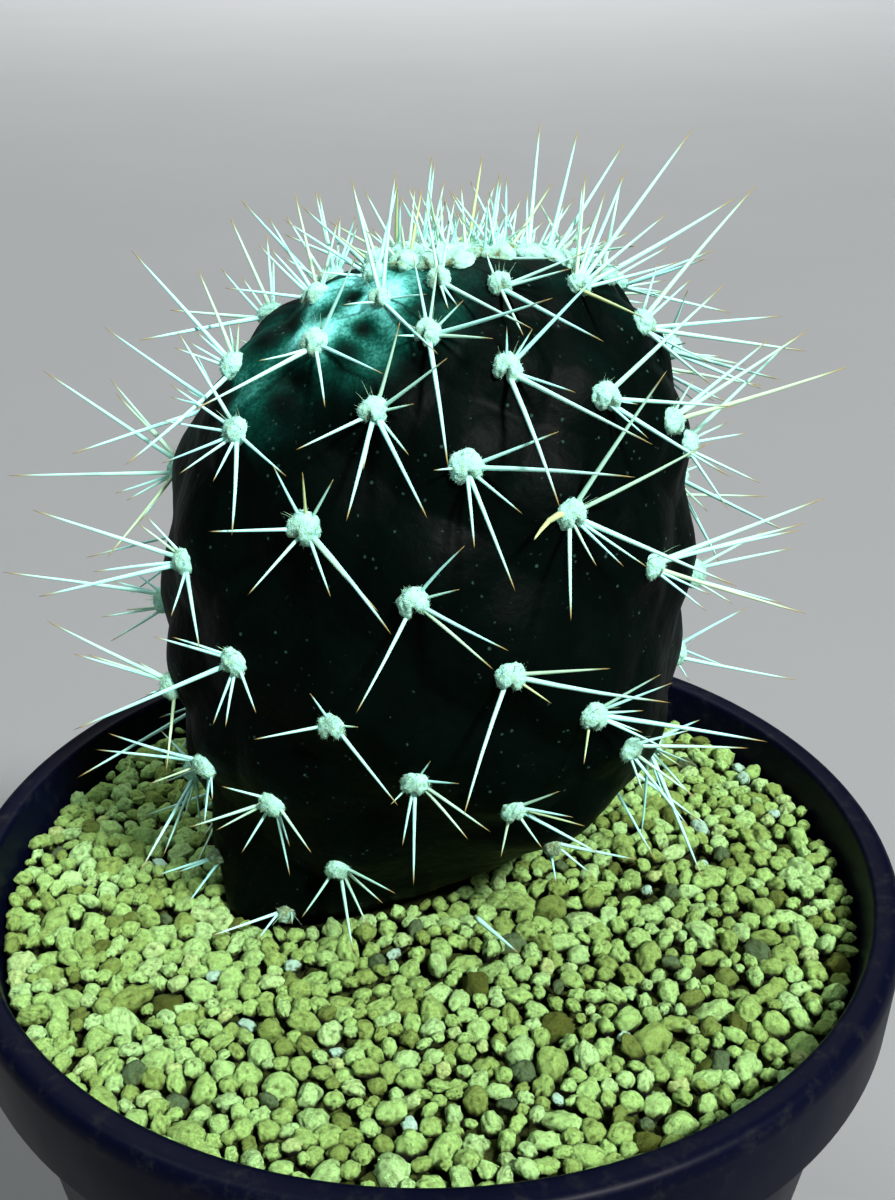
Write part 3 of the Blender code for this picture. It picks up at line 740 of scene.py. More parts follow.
def smooth_points(unit):
    """Points of the smooth body for unit vectors from the egg's middle."""
    height = np.where(unit[..., 2] > 0, BODY_UPPER_HEIGHT, BODY_LOWER_HEIGHT)
    width = np.full_like(height, BODY_HALF_WIDTH)
    depth = np.full_like(height, BODY_HALF_DEPTH)
    halves = np.stack([width, depth, height], -1)
    local = halves * unit
    normal = unit_length(unit / halves)
    away = unit_length(local @ LEAN.T)
    swell = np.zeros(height.shape)
    for clock, rise in BODY_SWELLS:
        turn = math.radians(clock)
        aim = VIEW_RIGHT * math.sin(turn) + VIEW_UP * math.cos(turn)
        swell += rise * np.exp((away @ aim - 1) / SWELL_REACH ** 2)
    bend = np.clip(-unit[..., 2], 0, 1) ** FOOT_BEND
    return BODY_CENTRE + (local + normal * swell[..., None]) @ LEAN.T + FOOT_SHIFT * bend[..., None]


def on_body(polar, around, rise=0.0):
    """Points and outward normals of the smooth body. polar is the angle from the crown, and around is
    counted from the viewer's side."""
    polar, around, rise = np.broadcast_arrays(polar, around, rise)
    unit = np.stack(
        [np.sin(polar) * np.sin(around), -np.sin(polar) * np.cos(around), np.cos(polar)], -1)
    unit = unit @ TO_CROWN.T
    points = smooth_points(unit)
    level = np.where(np.abs(unit[..., 2:]) < 0.9, (0.0, 0.0, 1.0), (1.0, 0.0, 0.0))
    side = unit_length(np.cross(unit, level)) * NORMAL_STEP
    along = smooth_points(unit_length(unit + side)) - points
    across = smooth_points(unit_length(unit + np.cross(unit, side))) - points
    normal = unit_length(np.cross(along, across))
    return points + normal * rise[..., None], normal


def pixel_of(point):
    """Where the photograph shows a point, in its pixels."""
    away = point - CAMERA_PLACE
    return PHOTO_MIDDLE + PHOTO_FOCUS * np.array((away @ VIEW_RIGHT, -away @ VIEW_UP)) / -(away @ TO_VIEWER)


def moved_to_pixel(polar, around, pixel):
    """Moves a place on the body until the photograph shows its wool at a pixel, or as near to it as
    the body reaches."""
    for _ in range(PIXEL_ROUNDS):
        here = pixel_of(on_body(polar, around, AREOLE_HEIGHT)[0])
        down = (pixel_of(on_body(polar + PIXEL_STEP, around, AREOLE_HEIGHT)[0]) - here) / PIXEL_STEP
        across = (pixel_of(on_body(polar, around + PIXEL_STEP, AREOLE_HEIGHT)[0]) - here) / PIXEL_STEP
        slopes = np.array((down, across))
        move = np.linalg.solve(slopes @ slopes.T + np.identity(2) * PIXEL_DAMPING, slopes @ (pixel - here))
        polar += move[0]
        around += move[1]
    return polar, around


def polar_angle(place):
    """Angle from the crown of an areole, in radians."""
    if place < CROWN_COUNT:
        return math.radians(CROWN_ANGLE * math.sqrt(place / CROWN_COUNT))
    share = (place - CROWN_COUNT) / (AREOLE_COUNT - CROWN_COUNT)
    widening = sum(angle * share ** (power + 1) for power, angle in enumerate(FLANK_ANGLES))
    return math.radians(CROWN_ANGLE + widening)


class Areole:
    """One areole's place on the smooth body, and its tubercle. blend is 0 in the crown's middle and 1
    on the flanks."""

    def __init__(self, place, polar, around):
        self.place = place
        self.blend = min(1.0, place / CROWN_COUNT) ** 2
        self.polar = polar
        self.around = around
        self.smooth, self.normal = on_body(polar, around)
        above = on_body(polar - UP_STEP, around)[0]
        self.up = Vector(above - self.smooth).normalized()
        self.right = self.up.cross(Vector(self.normal))
        self.reach = CROWN_TUBERCLE_REACH + self.blend * (TUBERCLE_REACH - CROWN_TUBERCLE_REACH)
        grown = float(smooth_step(RIDGE_PLACES, OLD_WOOL_FROM, place))
        self.radius = NEW_WOOL_RADIUS + grown * (OLD_WOOL_RADIUS - NEW_WOOL_RADIUS)
        self.wool_painted_shade = 0.0
        if place < RIDGE_PLACES:
            self.radius = RIDGE_WOOL_RADIUS
        elif place in FOOT_PLACES:
            self.radius = FOOT_WOOL_RADIUS
            # Painted shade over the whole cushion
            self.wool_painted_shade = FOOT_WOOL_PAINTED_SHADE

    def sit_on(self, areoles):
        """Finds the areole's foot on the finished skin."""
        rise = skin_rise(self.smooth[None], areoles)[0]
        self.foot = Vector(self.smooth + self.normal * rise)
        self.normal = Vector(self.normal)


def list_areoles():
    """The areoles above the grit, each where the CAD has it."""
    found = []
    for place in range(AREOLE_COUNT + 1):
        polar = polar_angle(place)
        around = math.radians(SPIRAL_START - SPIRAL_TURN * place)
        low = on_body(polar, around)[0][2] < GRIT_LEVEL + AREOLE_LEAST_RISE
        if low or place in MISSING_PLACES:
            continue
        if place in AREOLE_PIXELS:
            polar, around = moved_to_pixel(polar, around, np.array(AREOLE_PIXELS[place]))
        found.append(Areole(place, polar, around))
    for areole in found:
        areole.sit_on(found)
    return found


def nearest_swell(points, areoles, reach_share, drop):
    """The greatest of the areoles' bell curves at each point. drop moves each bell down its flank."""
    share = CROWN_TUBERCLE_SHARE
    swell = np.zeros(len(points))
    for areole in areoles:
        middle = on_body(areole.polar + areole.blend * drop / BODY_HALF_WIDTH, areole.around)[0]
        distance = np.linalg.norm(points - middle, axis=1) / (areole.reach * reach_share)
        swell = np.maximum(swell, np.exp(-distance ** 2 / 2) * (share + (1 - share) * areole.blend))
    return swell


def skin_rise(points, areoles):
    """Height of the skin above the smooth body, which shows bare where it enters the grit."""
    swell = TUBERCLE_HEIGHT * nearest_swell(points, areoles, 1.0, -TUBERCLE_ABOVE_AREOLE)
    fade = np.clip((points[:, 2] - GRIT_LEVEL) / SKIN_FADE, 0, 1)
    return (swell - VALLEY_DEPTH) * fade


def wrinkles(points, areoles):
    """Fine folds in the skin, and a dent just below each areole."""
    folds = np.array([
        sum(height * noise.noise(Vector(point) * scale) for height, scale in FOLDS) for point in points
    ])
    return folds - DENT_DEPTH * nearest_swell(points, areoles, DENT_REACH, DENT_DROP)


def build_skin(areoles):
    """The body's skin, with the share of bloom and painted light at each point."""
    polar = np.concatenate([
        np.linspace(0, SKIN_BURIED_FROM, SKIN_ROWS_SEEN)[1:],
        np.linspace(SKIN_BURIED_FROM, math.pi, SKIN_ROWS_BURIED)[1:-1],
    ])
    around = np.arange(SKIN_COLUMNS) * math.tau / SKIN_COLUMNS
    polar, around = np.meshgrid(polar, around, indexing="ij")
    rings = len(polar)
    polar = np.concatenate([polar.ravel(), [0.0, math.pi]])
    around = np.concatenate([around.ravel(), [0.0, 0.0]])
    smooth = on_body(polar, around)[0]
    rise = skin_rise(smooth, areoles) + wrinkles(smooth, areoles)
    points = on_body(polar, around, rise)[0]
    # Bloom and painted light from above, lighter towards the crown
    crown = 1 - smooth_step(*CROWN_BLOOM_AND_LIGHT_ENDS, polar)
    # Painted highlight patches, partly bloom, on the crown's lit upper left
    patches = np.zeros(len(smooth))
    for pixel, thickness, reach in BLOOM_AND_HIGHLIGHT_PATCHES:
        middle = on_body(*moved_to_pixel(BLOOM_HIGHLIGHT_PATCH_POLAR, 0.0, np.array(pixel)))[0]
        away = np.linalg.norm(smooth - middle, axis=1) / reach
        patches = np.maximum(patches, thickness * np.exp(-away ** BLOOM_HIGHLIGHT_PATCH_EDGE))
    # Bloom and painted highlight on the tubercles' tops and in a halo above each areole, less in the
    # valleys
    tops = nearest_swell(smooth, areoles, 1.0, -TUBERCLE_ABOVE_AREOLE)
    halo = nearest_swell(smooth, areoles, *HALO)
    # Painted shade in a streak below each areole, which takes away bloom
    shade = np.zeros(len(smooth))
    for depth, reach_share, drop in PAINTED_SHADES_BELOW_AREOLES:
        shade = np.maximum(shade, depth * nearest_swell(smooth, areoles, reach_share, drop))
    bloom_and_light = (CROWN_BLOOM_AND_LIGHT * crown + patches) * (VALLEY_BLOOM_AND_LIGHT + (1 - VALLEY_BLOOM_AND_LIGHT) * tops)
    bloom_and_light += (HALO_BLOOM_AND_HIGHLIGHT + CROWN_HALO_BLOOM_AND_HIGHLIGHT * crown) * halo
    bloom_and_light = np.clip(bloom_and_light * (1 - PAINTED_SHADE_SHARE * shade), 0, 1)
    triangles = tube_triangles(rings, SKIN_COLUMNS)[:, ::-1]
    return triangle_object("skin", points, triangles, skin_finish(), {"bloom_and_light": bloom_and_light})


def build_root(material):
    """The short root under the body."""
    top = BODY_CENTRE + LEAN @ np.array((0, 0, -ROOT_TOP_SHARE * BODY_LOWER_HEIGHT))
    top = top + FOOT_SHIFT * ROOT_TOP_SHARE ** FOOT_BEND
    points = []
    for share in np.linspace(0, 1, ROOT_RINGS):
        height = top[2] - share * ROOT_DEPTH
        radius = ROOT_TOP_RADIUS + share * (ROOT_TIP_RADIUS - ROOT_TOP_RADIUS)
        for side in range(ROOT_SIDES):
            turn = math.tau * side / ROOT_SIDES
            spot = Vector((math.cos(turn), math.sin(turn), height * ROOT_LUMPS))
            rough = 1 - ROOT_ROUGHNESS * (1 + noise.noise(spot))
            points.append((
                top[0] + rough * radius * math.cos(turn), top[1] + rough * radius * math.sin(turn), height))
    points.append(tuple(top))
    points.append((top[0], top[1], top[2] - ROOT_DEPTH))
    triangles = tube_triangles(ROOT_RINGS, ROOT_SIDES)[:, ::-1]
    return triangle_object("root", np.array(points), triangles, material, {"bloom_and_light": np.zeros(len(points))})


# Wool, hairs and glochids

def cushion_points(areole, unit, draw):
    """The wool cushion on an areole: a lumpy dome with a cleft on its lower side. Returns its points and
    how dark each
    lies: brown bits and painted shade in the cleft and on the lower side, brown bits on top, painted shade
    all over a foot areole."""
    shift = Vector((areole.place * WOOL_SHIFT, 0, 0))
    cleft_turn = math.pi + draw.uniform(-CLEFT_STRAY, CLEFT_STRAY)
    cleft_depth = draw.uniform(*CLEFT_DEPTHS) * areole.blend
    width = areole.radius * draw.uniform(*CUSHION_WIDTHS)
    height = CUSHION_HEIGHT * draw.uniform(*CUSHION_HEIGHTS)
    oval = draw.uniform(*CUSHION_OVALS)
    points = []
    depths = []
    for spot in unit:
        lump = 1
        for share, scale in WOOL_LUMPS:
            lump += share * noise.noise(spot * scale + shift)
        off = (math.atan2(spot.x, spot.y) - cleft_turn + math.pi) % math.tau - math.pi
        flat = math.hypot(spot.x, spot.y)
        cleft = math.exp(-(off / CLEFT_HALF_ANGLE) ** 2) * min(1.0, flat * CLEFT_GROWTH)
        lump -= cleft_depth * cleft
        rise = max(spot.z * lump * height, -CUSHION_SINK)
        across = (areole.right * spot.x * oval + areole.up * spot.y) * lump * width
        points.append(areole.foot + across + areole.normal * rise)
        # Brown bits and painted shade on the lower side and in the cleft
        below = math.exp(-(off / BROWN_AND_SHADE_HALF_ANGLE) ** 2) * flat
        depths.append(max(cleft, BROWN_AND_SHADE_BELOW * below, BROWN_TOP * (1 - flat) ** 2, areole.wool_painted_shade))
    return points, depths


def build_wool(areoles):
    """All the cushions, the fine hairs on them and their tufts of glochids."""
    cushions = Heap()
    hairs = Heap()
    unit, triangles = icosphere(4)
    unit = [Vector(spot) for spot in unit]
    hair_faces = np.array([[0, 1, 2], [0, 3, 1], [1, 3, 2], [2, 3, 0]])
    bristle_faces = tube_triangles(len(GLOCHID_STEPS), 3)
    for areole in areoles:
        draw = random.Random(WOOL_SEED + areole.place)
        points, depths = cushion_points(areole, unit, draw)
        age = max(0.0, min(1.0, (areole.polar - WOOL_AGE_FROM) / WOOL_AGE_SPAN))
        age *= draw.uniform(*WOOL_AGE_SHARES)
        cushions.add(np.array(points), triangles, cleft=depths, age=age)
        outer = [point for point, spot in zip(points, unit) if spot.z > HAIRS_FROM]
        for _ in range(HAIRS_A_CUSHION):
            start = outer[draw.randrange(len(outer))]
            away = (start - areole.foot + areole.normal * CUSHION_SINK).normalized()
            stray = Vector([draw.gauss(0, HAIR_STRAY) for _ in range(3)])
            tip = start + (away + stray).normalized() * draw.uniform(*HAIR_LENGTHS)
            side = away.orthogonal().normalized() * HAIR_RADIUS
            other = away.cross(side)
            root = start - away * HAIR_LENGTHS[0]
            behind = root - side * 0.5
            corners = [root + side, behind + other * 0.87, behind - other * 0.87, tip]
            hairs.add(np.array(corners), hair_faces, age=age)
        for _ in range(GLOCHIDS_AN_AREOLE if areole.blend == 1 else CROWN_GLOCHIDS):
            turn = draw.gauss(0, GLOCHID_STRAY)
            flat = areole.up * math.cos(turn) + areole.right * math.sin(turn)
            start = areole.foot + flat * areole.radius * draw.uniform(*GLOCHID_PLACES)
            aim = (flat * draw.uniform(*GLOCHID_SLOPES) + areole.normal).normalized()
            tip = start + aim * draw.uniform(*GLOCHID_LENGTHS)
            points, _ = bristle(start, tip, GLOCHID_RADIUS, 3, GLOCHID_STEPS)
            hairs.add(points, bristle_faces, age=1.0)
    return cushions.build("wool", wool_finish()), hairs.build("wool_hairs", hair_finish())


# Spines

def seen_direction(clock, normal):
    """Direction that the viewer sees at a clock angle, leaned towards them until it stands off the skin."""
    flat = VIEW_RIGHT * math.sin(clock) + VIEW_UP * math.cos(clock)
    clear = math.sin(SPINE_LIFT)
    lean = 0.0
    while lean < SPINE_MOST_LEAN and unit_length(flat + lean * TO_VIEWER) @ normal < clear:
        lean += LEAN_STEP
    return Vector(flat + lean * TO_VIEWER)


def clear_of_grit(start, along):
    """Turns a spine up where its tip would enter the grit."""
    length = along.length
    while start.z + along.z < SPINE_FLOOR:
        along = (along + Vector((0, 0, SPINE_TURN_UP))).normalized() * length
    return along


def drawn_spines(areole, draw, clocks, lengths, lifts, droops, growths):
    """Spines at clock angles. On the flanks they lie flatter, by a droop, and are longer, by a growth."""
    flank = math.sin(areole.polar) ** FLANK_POWER
    spines = []
    for clock in clocks:
        lift = math.radians(draw.uniform(*lifts) - areole.blend * draw.uniform(*droops))
        length = draw.uniform(*lengths) + flank * draw.uniform(*growths)
        turn = math.radians(clock)
        flat = areole.up * math.cos(turn) + areole.right * math.sin(turn)
        spines.append((flat * math.cos(lift) + areole.normal * math.sin(lift)) * length)
    return spines


def main_spines(areole):
    """The spines that the CAD has too, drawn in the same order."""
    draw = random.Random(areole.place)
    if areole.place < CROWN_COUNT:
        clocks = [draw.uniform(0, 360) for _ in range(SPINES_A_CROWN_AREOLE)]
        lengths = CROWN_SPINE_LENGTHS
    else:
        clocks = [clock + draw.uniform(-CLOCK_STRAY, CLOCK_STRAY) for clock in FLANK_SPINE_CLOCKS]
        lengths = FLANK_SPINE_LENGTHS
    return drawn_spines(areole, draw, clocks, lengths, *MAIN_SPINES)


def lesser_spines(areole):
    """The shorter spines among the main ones. Each clock angle is drawn just before its spine."""
    draw = random.Random(LESSER_SPINE_SEED + areole.place)
    if areole.blend == 1:
        clocks = (draw.gauss(*LESSER_CLOCKS) for _ in range(draw.choice(LESSER_COUNTS)))
    else:
        clocks = (draw.uniform(0, 360) for _ in range(SPINES_A_CROWN_AREOLE))
    return drawn_spines(areole, draw, clocks, LESSER_SPINE_LENGTHS, *LESSER_SPINES)


def build_spines(areoles):
    spines = Heap()
    faces = tube_triangles(len(SPINE_STEPS), SPINE_SIDES)

    def add(start, tip, draw, girth=1.0):
        length = (tip - start).length
        grown = SPINE_GIRTH * min(length, SPINE_THICKEST_FROM)
        radius = girth * (SPINE_LEAST_RADIUS + grown * draw.uniform(*SPINE_GIRTHS))
        side = (tip - start).orthogonal().normalized()
        side.rotate(Matrix.Rotation(draw.uniform(0, math.tau), 3, (tip - start).normalized()))
        bow = side * length * draw.gauss(0, SPINE_BOW)
        points, along = bristle(start, tip, radius, SPINE_SIDES, SPINE_STEPS, SPINE_TAPER, bow)
        spines.add(points, faces, along=along, tint=min(1.0, abs(draw.gauss(0, SPINE_TINT))))

    for areole in areoles:
        if areole.place in FRONT_SPINES:
            found = [
                seen_direction(math.radians(clock), areole.normal) * seen / 1000
                for clock, seen in FRONT_SPINES[areole.place]
            ]
        else:
            found = main_spines(areole) + lesser_spines(areole)
        draw = random.Random(SPINE_SEED + areole.place)
        for along in found:
            along = clear_of_grit(areole.foot, along)
            leaning = along - along.dot(areole.normal) * areole.normal
            root = areole.foot + leaning.normalized() * SPINE_SPREAD
            add(root - along.normalized() * SPINE_ROOT, root + along, draw)
    add(Vector(DROPPED_SPINE[0]), Vector(DROPPED_SPINE[1]), random.Random(1), DROPPED_GIRTH)
    bearer = next(areole for areole in areoles if areole.place == BRACT_PLACE)
    along = seen_direction(math.radians(BRACT_CLOCK), bearer.normal) * BRACT_LENGTH
    bow = Vector(VIEW_UP) * BRACT_BOW
    tip = bearer.foot + along
    points, shares = bristle(bearer.foot, tip, BRACT_RADIUS, SPINE_SIDES, SPINE_STEPS, SPINE_TAPER, bow)
    spines.add(points, faces, along=BRACT_SHADE * shares, tint=1.0)
    return spines.build("spines", spine_finish())


# Grit

def footprint():
    """Middle of the body's outline in the grit, and its radius in each direction round the middle."""
    polar, around = np.meshgrid(
        np.linspace(FOOT_FROM, math.pi, FOOT_ROWS), np.linspace(0, math.tau, FOOT_COLUMNS), indexing="ij")
    points = on_body(polar.ravel(), around.ravel())[0]
    rise = points[:, 2] - GRIT_LEVEL
    points = points[(rise > FOOT_BAND[0]) & (rise < FOOT_BAND[1]), :2]
    middle = (points.min(0) + points.max(0)) / 2
    away = points - middle
    sector = ((np.arctan2(away[:, 1], away[:, 0]) % math.tau) / math.tau * FOOT_SECTORS).astype(int)
    radii = np.zeros(FOOT_SECTORS)
    np.maximum.at(radii, sector % FOOT_SECTORS, np.linalg.norm(away, axis=1))
    return middle, radii


def foot_distance(flat, middle, radii):
    """Distance of level points outside the body's outline in the grit, and the way out from it."""
    away = flat - middle
    reach = np.linalg.norm(away, axis=1)
    turn = (np.arctan2(away[:, 1], away[:, 0]) % math.tau) / math.tau * FOOT_SECTORS - 0.5
    edge = np.interp(turn, np.arange(FOOT_SECTORS), radii, period=FOOT_SECTORS)
    return reach - edge, away / np.maximum(reach, TINY)[:, None]


def inner_radius(height):
    """Inner radius of the pot's wall at a height above its bottom."""
    share = (height - POT_FLOOR) / (POT_HEIGHT - POT_FLOOR)
    return POT_BASE_INNER_RADIUS + share * (POT_RIM_INNER_RADIUS - POT_BASE_INNER_RADIUS)


def scatter_grains(count, mean_radius, level, seed):
    """Centres and radii of grains spread over the bed, pushed apart and kept off wall and body."""
    rng = np.random.default_rng(seed)
    foot = footprint()
    radii = np.clip(mean_radius * np.exp(rng.normal(0, GRAIN_SPREAD, count)), *GRAIN_RADII)
    angle = rng.uniform(0, math.tau, count)
    far = inner_radius(level) * np.sqrt(rng.uniform(0, 1, count))
    flat = np.stack([far * np.cos(angle), far * np.sin(angle)], 1)
    sink = level - GRAIN_SINK * radii + rng.normal(0, GRAIN_UNEVEN, count)
    for _ in range(GRAIN_ROUNDS):
        offset = flat[:, None] - flat[None]
        distance = np.sqrt((offset ** 2).sum(2)) + TINY
        overlap = np.clip(GRAIN_SPACING * (radii[:, None] + radii[None]) - distance, 0, None)
        np.fill_diagonal(overlap, 0)
        flat = flat + GRAIN_PUSH * (offset * (overlap / distance)[:, :, None]).sum(1)
        gap, outward = foot_distance(flat, *foot)
        flat = flat + np.clip(GRAIN_TO_BODY * radii - gap, 0, None)[:, None] * outward
        reach = np.linalg.norm(flat, axis=1)
        limit = inner_radius(sink) - radii * GRAIN_TO_WALL - GAP
        flat = flat * np.minimum(1, limit / np.maximum(reach, TINY))[:, None]
    return np.concatenate([flat, sink[:, None]], 1), radii


def grain_shapes(subdivisions):
    """Crumbs of baked clay, each a ball cut by blunt planes: their points and the painted shade in their
    crevices.
    """
    unit, triangles = icosphere(subdivisions)
    rng = np.random.default_rng(GRAIN_SHAPE_SEED)
    shapes = []
    for number in range(GRAIN_SHAPES):
        shift = Vector((number * GRAIN_SHIFT, 4.4, 1.7))
        stretch = rng.uniform(*GRAIN_STRETCH)
        sides = unit_length(rng.normal(0, 1, (GRAIN_SIDES, 3)))
        depths = rng.uniform(*GRAIN_SIDE_DEPTHS, GRAIN_SIDES)
        facing = np.clip(unit @ sides.T, 0, None) / depths
        blunt = ((facing ** GRAIN_EDGE).sum(1) + 1) ** (-1 / GRAIN_EDGE)
        crumbs = np.array([
            sum(share * noise.noise(Vector(spot) * scale + shift) for share, scale in GRAIN_LUMPS)
            for spot in unit
        ])
        painted_shading = np.clip(GRAIN_PAINTED_SHADE[0] + GRAIN_PAINTED_SHADE[1] * crumbs, 0, 1)
        shapes.append((unit * stretch * (blunt + crumbs)[:, None] * GRAIN_SWELL, painted_shading))
    return shapes, triangles


def mark_grains(centres, kinds, radii):
    """Makes the grains nearest to the named spots white, grey-green or large."""
    for spots, kind in ((WHITE_GRAIN_SPOTS, 1.0), (GREEN_GRAIN_SPOTS, 2.0)):
        for spot in spots:
            nearest = np.argmin(np.linalg.norm(centres[:, :2] - spot, axis=1))
            kinds[nearest] = kind
            radii[nearest] = min(radii[nearest], MARKED_GRAIN_RADIUS)
    for spot in LARGE_GRAIN_SPOTS:
        radii[np.argmin(np.linalg.norm(centres[:, :2] - spot, axis=1))] *= LARGE_GRAIN_GROWTH


def build_grains(name, layout, material):
    """One layer of grains, dealt out to its pieces."""
    count, mean_radius, subdivisions, drop, seed, pieces = layout
    centres, radii = scatter_grains(count, mean_radius, GRIT_LEVEL - drop, seed)
    draw = random.Random(seed)
    kinds = np.array([draw.choices((0.0, 1.0, 2.0), GRAIN_KIND_SHARES)[0] for _ in range(count)])
    if drop == 0.0:
        mark_grains(centres, kinds, radii)
    shapes, triangles = grain_shapes(subdivisions)
    # The lower layer keeps less light, as painted shade
    daylight = LOW_GRAIN_PAINTED_SHADE if drop else 1.0
    made = []
    for piece in range(pieces):
        heap = Heap()
        for number in range(piece, count, pieces):
            points, painted_shading = shapes[draw.randrange(GRAIN_SHAPES)]
            turn = Euler([draw.uniform(0, math.tau) for _ in range(3)]).to_matrix()
            points = points @ np.array(turn).T * GRAIN_FLATTENING
            # Painted shade, darker low on each grain
            open_sky = smooth_step(*GRAIN_SHADE, points[:, 2])
            points = points * radii[number] + centres[number]
            # The lower layer's grains take a darker tint, as painted shade
            tint = min(1.0, max(0.0, draw.gauss(*GRAIN_TINT) - LOW_GRAIN_DARKENING * drop))
            heap.add(points, triangles, painted_shading=painted_shading * open_sky * daylight, tint=tint, kind=kinds[number])
        made.append(heap.build(f"{name}_{piece + 1}", material))
    return made


def cut(target, cutters):
    """Cuts closed objects out of another and deletes them."""
    for cutter in cutters:
        step = target.modifiers.new("cut", "BOOLEAN")
        step.operation = "DIFFERENCE"
        step.solver = "EXACT"
        step.object = cutter
    graph = bpy.context.evaluated_depsgraph_get()
    mesh = bpy.data.meshes.new_from_object(target.evaluated_get(graph))
    target.modifiers.clear()
    target.data = mesh
    for cutter in cutters:
        bpy.data.objects.remove(cutter, do_unlink=True)


def turned(name, profile, sides, material, ripple=0.0):
    """Turns (radius, height) points, listed from the axis up the outer side and back to the axis."""
    heights = np.array([height for _, height in profile[1:-1]])
    radii = np.array([radius for radius, _ in profile[1:-1]])
    turn = np.arange(sides) * math.tau / sides
    points = np.stack([
        radii[:, None] * np.cos(turn), radii[:, None] * np.sin(turn),
        np.broadcast_to(heights[:, None], (len(heights), sides)),
    ], -1).reshape(-1, 3)
    points = np.concatenate([points, [(0, 0, profile[0][1]), (0, 0, profile[-1][1])]])
    if ripple:
        points[:, 2] += [ripple * noise.noise(Vector(point) * RIPPLE_SCALE) for point in points]
    return triangle_object(name, points, tube_triangles(len(radii), sides), material)


def build_bed():
    """The grit under the grains, down to the pot's floor, with the body's hollow in it."""
    top = GRIT_LEVEL - BED_DROP
    floor = POT_FLOOR + 2 * GAP
    edge = inner_radius(top) - 2 * GAP
    profile = [(0, floor), (inner_radius(floor) - 2 * GAP, floor), (edge, top)]
    profile += [(edge * (1 - ring / BED_RINGS), top) for ring in range(1, BED_RINGS)]
    profile.append((0, top))
    bed = turned("grit_bed", profile, BED_SIDES, bed_finish(), ripple=GAP)
    polar = np.linspace(0, math.pi, HOLLOW_RINGS + 2)[1:-1]
    around = np.arange(HOLLOW_SIDES) * math.tau / HOLLOW_SIDES
    polar, around = np.meshgrid(polar, around, indexing="ij")
    points = on_body(polar.ravel(), around.ravel(), GAP)[0]
    poles = on_body(np.array([0.0, math.pi]), np.zeros(2), GAP)[0]
    triangles = tube_triangles(HOLLOW_RINGS, HOLLOW_SIDES)[:, ::-1]
    hollow = triangle_object("hollow", np.concatenate([points, poles]), triangles, bed.data.materials[0])
    cut(bed, [hollow])
    return bed


# Pot

def rounded(corners):
    """A profile from (radius, height, rounding) corners, each rounded by a short curve."""
    points = []
    for number, (radius, height, rounding) in enumerate(corners):
        corner = Vector((radius, height))
        if not rounding:
            points.append(tuple(corner))
            continue
        before = Vector(corners[number - 1][:2]) - corner
        after = Vector(corners[number + 1][:2]) - corner
        start = corner + before.normalized() * min(rounding, before.length / ROUNDING_ROOM)
        end = corner + after.normalized() * min(rounding, after.length / ROUNDING_ROOM)
        for step in range(ROUNDING_STEPS + 1):
            share = step / ROUNDING_STEPS
            points.append(tuple(
                start * (1 - share) ** 2 + corner * 2 * share * (1 - share) + end * share ** 2))
    return points


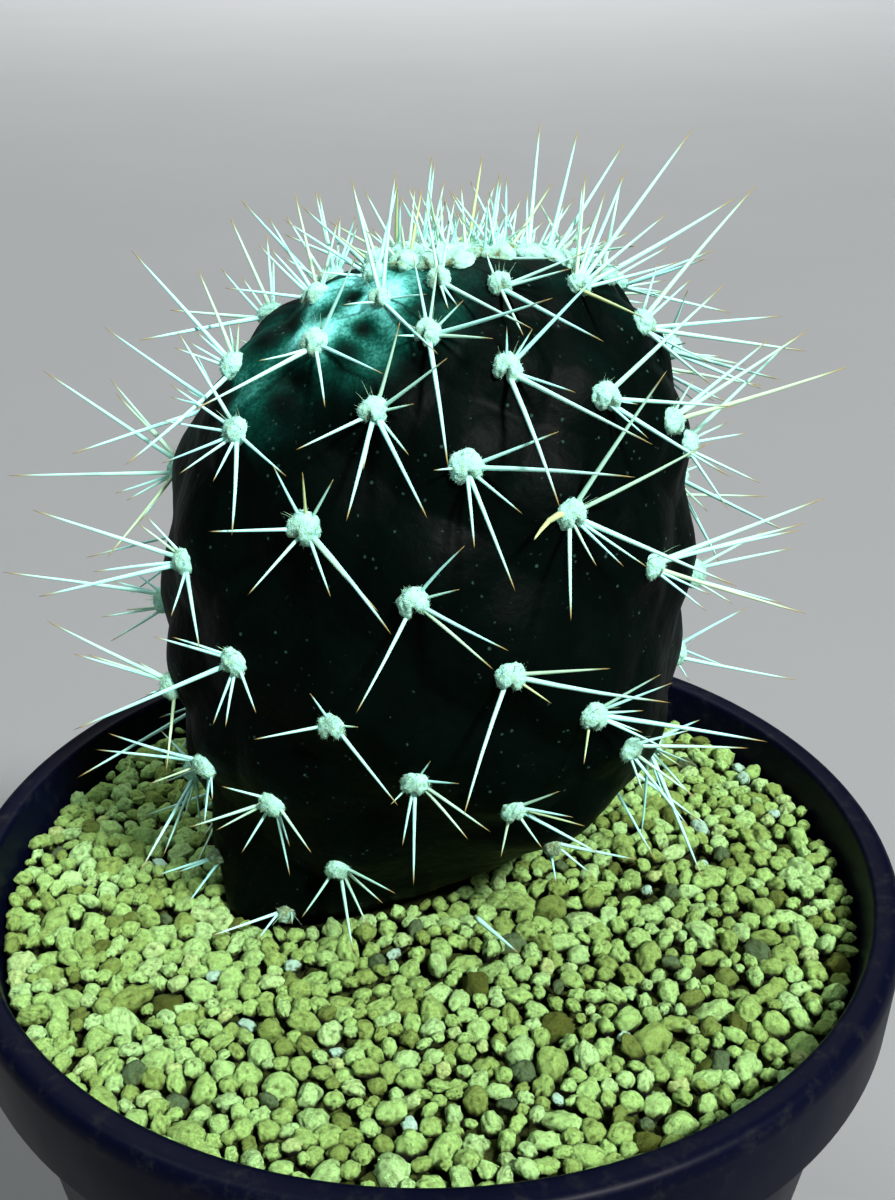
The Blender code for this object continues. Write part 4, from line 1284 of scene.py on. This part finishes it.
def build_pot():
    band_foot = POT_HEIGHT - POT_BAND_HEIGHT
    rim_outer = POT_RIM_INNER_RADIUS + POT_WALL + POT_BAND_PROUD
    foot_radius = POT_BASE_INNER_RADIUS + POT_WALL
    wall_under_band = inner_radius(band_foot) + POT_WALL
    corners = [
        (0, 0.0008, 0),
        (foot_radius - 0.0045, 0.0008, 0.0004),
        (foot_radius - 0.0040, 0, 0.0004),
        (foot_radius - 0.0005, 0, 0.0010),
        (foot_radius + 0.0002, 0.0024, 0.0010),
        (wall_under_band, band_foot, 0.0006),
        (rim_outer - 0.0005, band_foot, 0.0005),
        (rim_outer, POT_HEIGHT - 0.0012, 0.0008),
        (rim_outer - 0.0007, POT_HEIGHT, 0.0010),
        (POT_RIM_INNER_RADIUS + 0.0001, POT_HEIGHT, 0.0007),
        (inner_radius(POT_HEIGHT - 0.006), POT_HEIGHT - 0.006, 0.0010),
        (POT_BASE_INNER_RADIUS, POT_FLOOR, 0.0012),
        (0, POT_FLOOR, 0),
    ]
    material = pot_finish()
    pot = turned("plastic_pot", rounded(corners), POT_SIDES, material)
    drill_profile = [(0, -DRILL_REACH), (DRAIN_HOLE_RADIUS, -DRILL_REACH)]
    drill_profile += [(DRAIN_HOLE_RADIUS, DRILL_REACH), (0, DRILL_REACH)]
    cutters = []
    for number in range(DRAIN_HOLE_COUNT):
        angle = math.tau * number / DRAIN_HOLE_COUNT
        drill = turned("drill", drill_profile, DRILL_SIDES, material)
        drill.location = (DRAIN_HOLE_CIRCLE * math.cos(angle), DRAIN_HOLE_CIRCLE * math.sin(angle), 0)
        cutters.append(drill)
    bpy.context.view_layer.update()
    cut(pot, cutters)
    return pot


# Stage

def build_floor():
    corners = FLOOR_REACH * np.array([(-1, -1, 0), (1, -1, 0), (1, 1, 0), (-1, 1, 0)])
    return triangle_object("floor", corners, np.array([[0, 1, 2], [0, 2, 3]]), floor_finish())


def add_area_light(name, place, aim, size, power, colour, spread):
    light = bpy.data.lights.new(name, "AREA")
    light.shape = "DISK"
    light.size = size
    light.energy = power
    light.color = colour
    light.spread = math.radians(spread)
    made = bpy.data.objects.new(name, light)
    made.location = place
    made.rotation_euler = (Vector(aim) - Vector(place)).to_track_quat("-Z", "Y").to_euler()
    bpy.context.scene.collection.objects.link(made)


def set_stage():
    """Floor, soft light and the camera at the photograph's angle."""
    build_floor()
    for light in LIGHTS:
        add_area_light(*light)
    world = bpy.data.worlds.new("studio")
    world.use_nodes = True
    background = world.node_tree.nodes["Background"]
    background.inputs["Color"].default_value = (*WORLD_COLOUR, 1)
    background.inputs["Strength"].default_value = WORLD_STRENGTH
    bpy.context.scene.world = world
    lens = bpy.data.cameras.new("camera")
    lens.lens = CAMERA_LENS
    lens.sensor_width = CAMERA_SENSOR
    lens.clip_start = CAMERA_NEAR
    camera = bpy.data.objects.new("camera", lens)
    camera.location = CAMERA_PLACE
    camera.rotation_euler = (math.radians(90) - VIEW_PITCH, 0, 0)
    bpy.context.scene.collection.objects.link(camera)
    bpy.context.scene.camera = camera
    bpy.context.scene.view_settings.view_transform = "Standard"


def carry(pieces, node):
    """Puts pieces on the part's one body in place of a CAD node."""
    for piece in pieces:
        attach(piece, "root")
        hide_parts(node)


def main():
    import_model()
    areoles = list_areoles()
    skin = build_skin(areoles)
    carry([skin, build_root(skin.data.materials[0]), *build_wool(areoles), build_spines(areoles)], "cactus")
    clay = grain_finish()
    top_grains = build_grains("top_grains", TOP_GRAINS, clay)
    low_grains = build_grains("low_grains", LOW_GRAINS, clay)
    carry([build_bed(), *top_grains, *low_grains], "grit")
    carry([build_pot()], "pot")
    set_stage()


main()
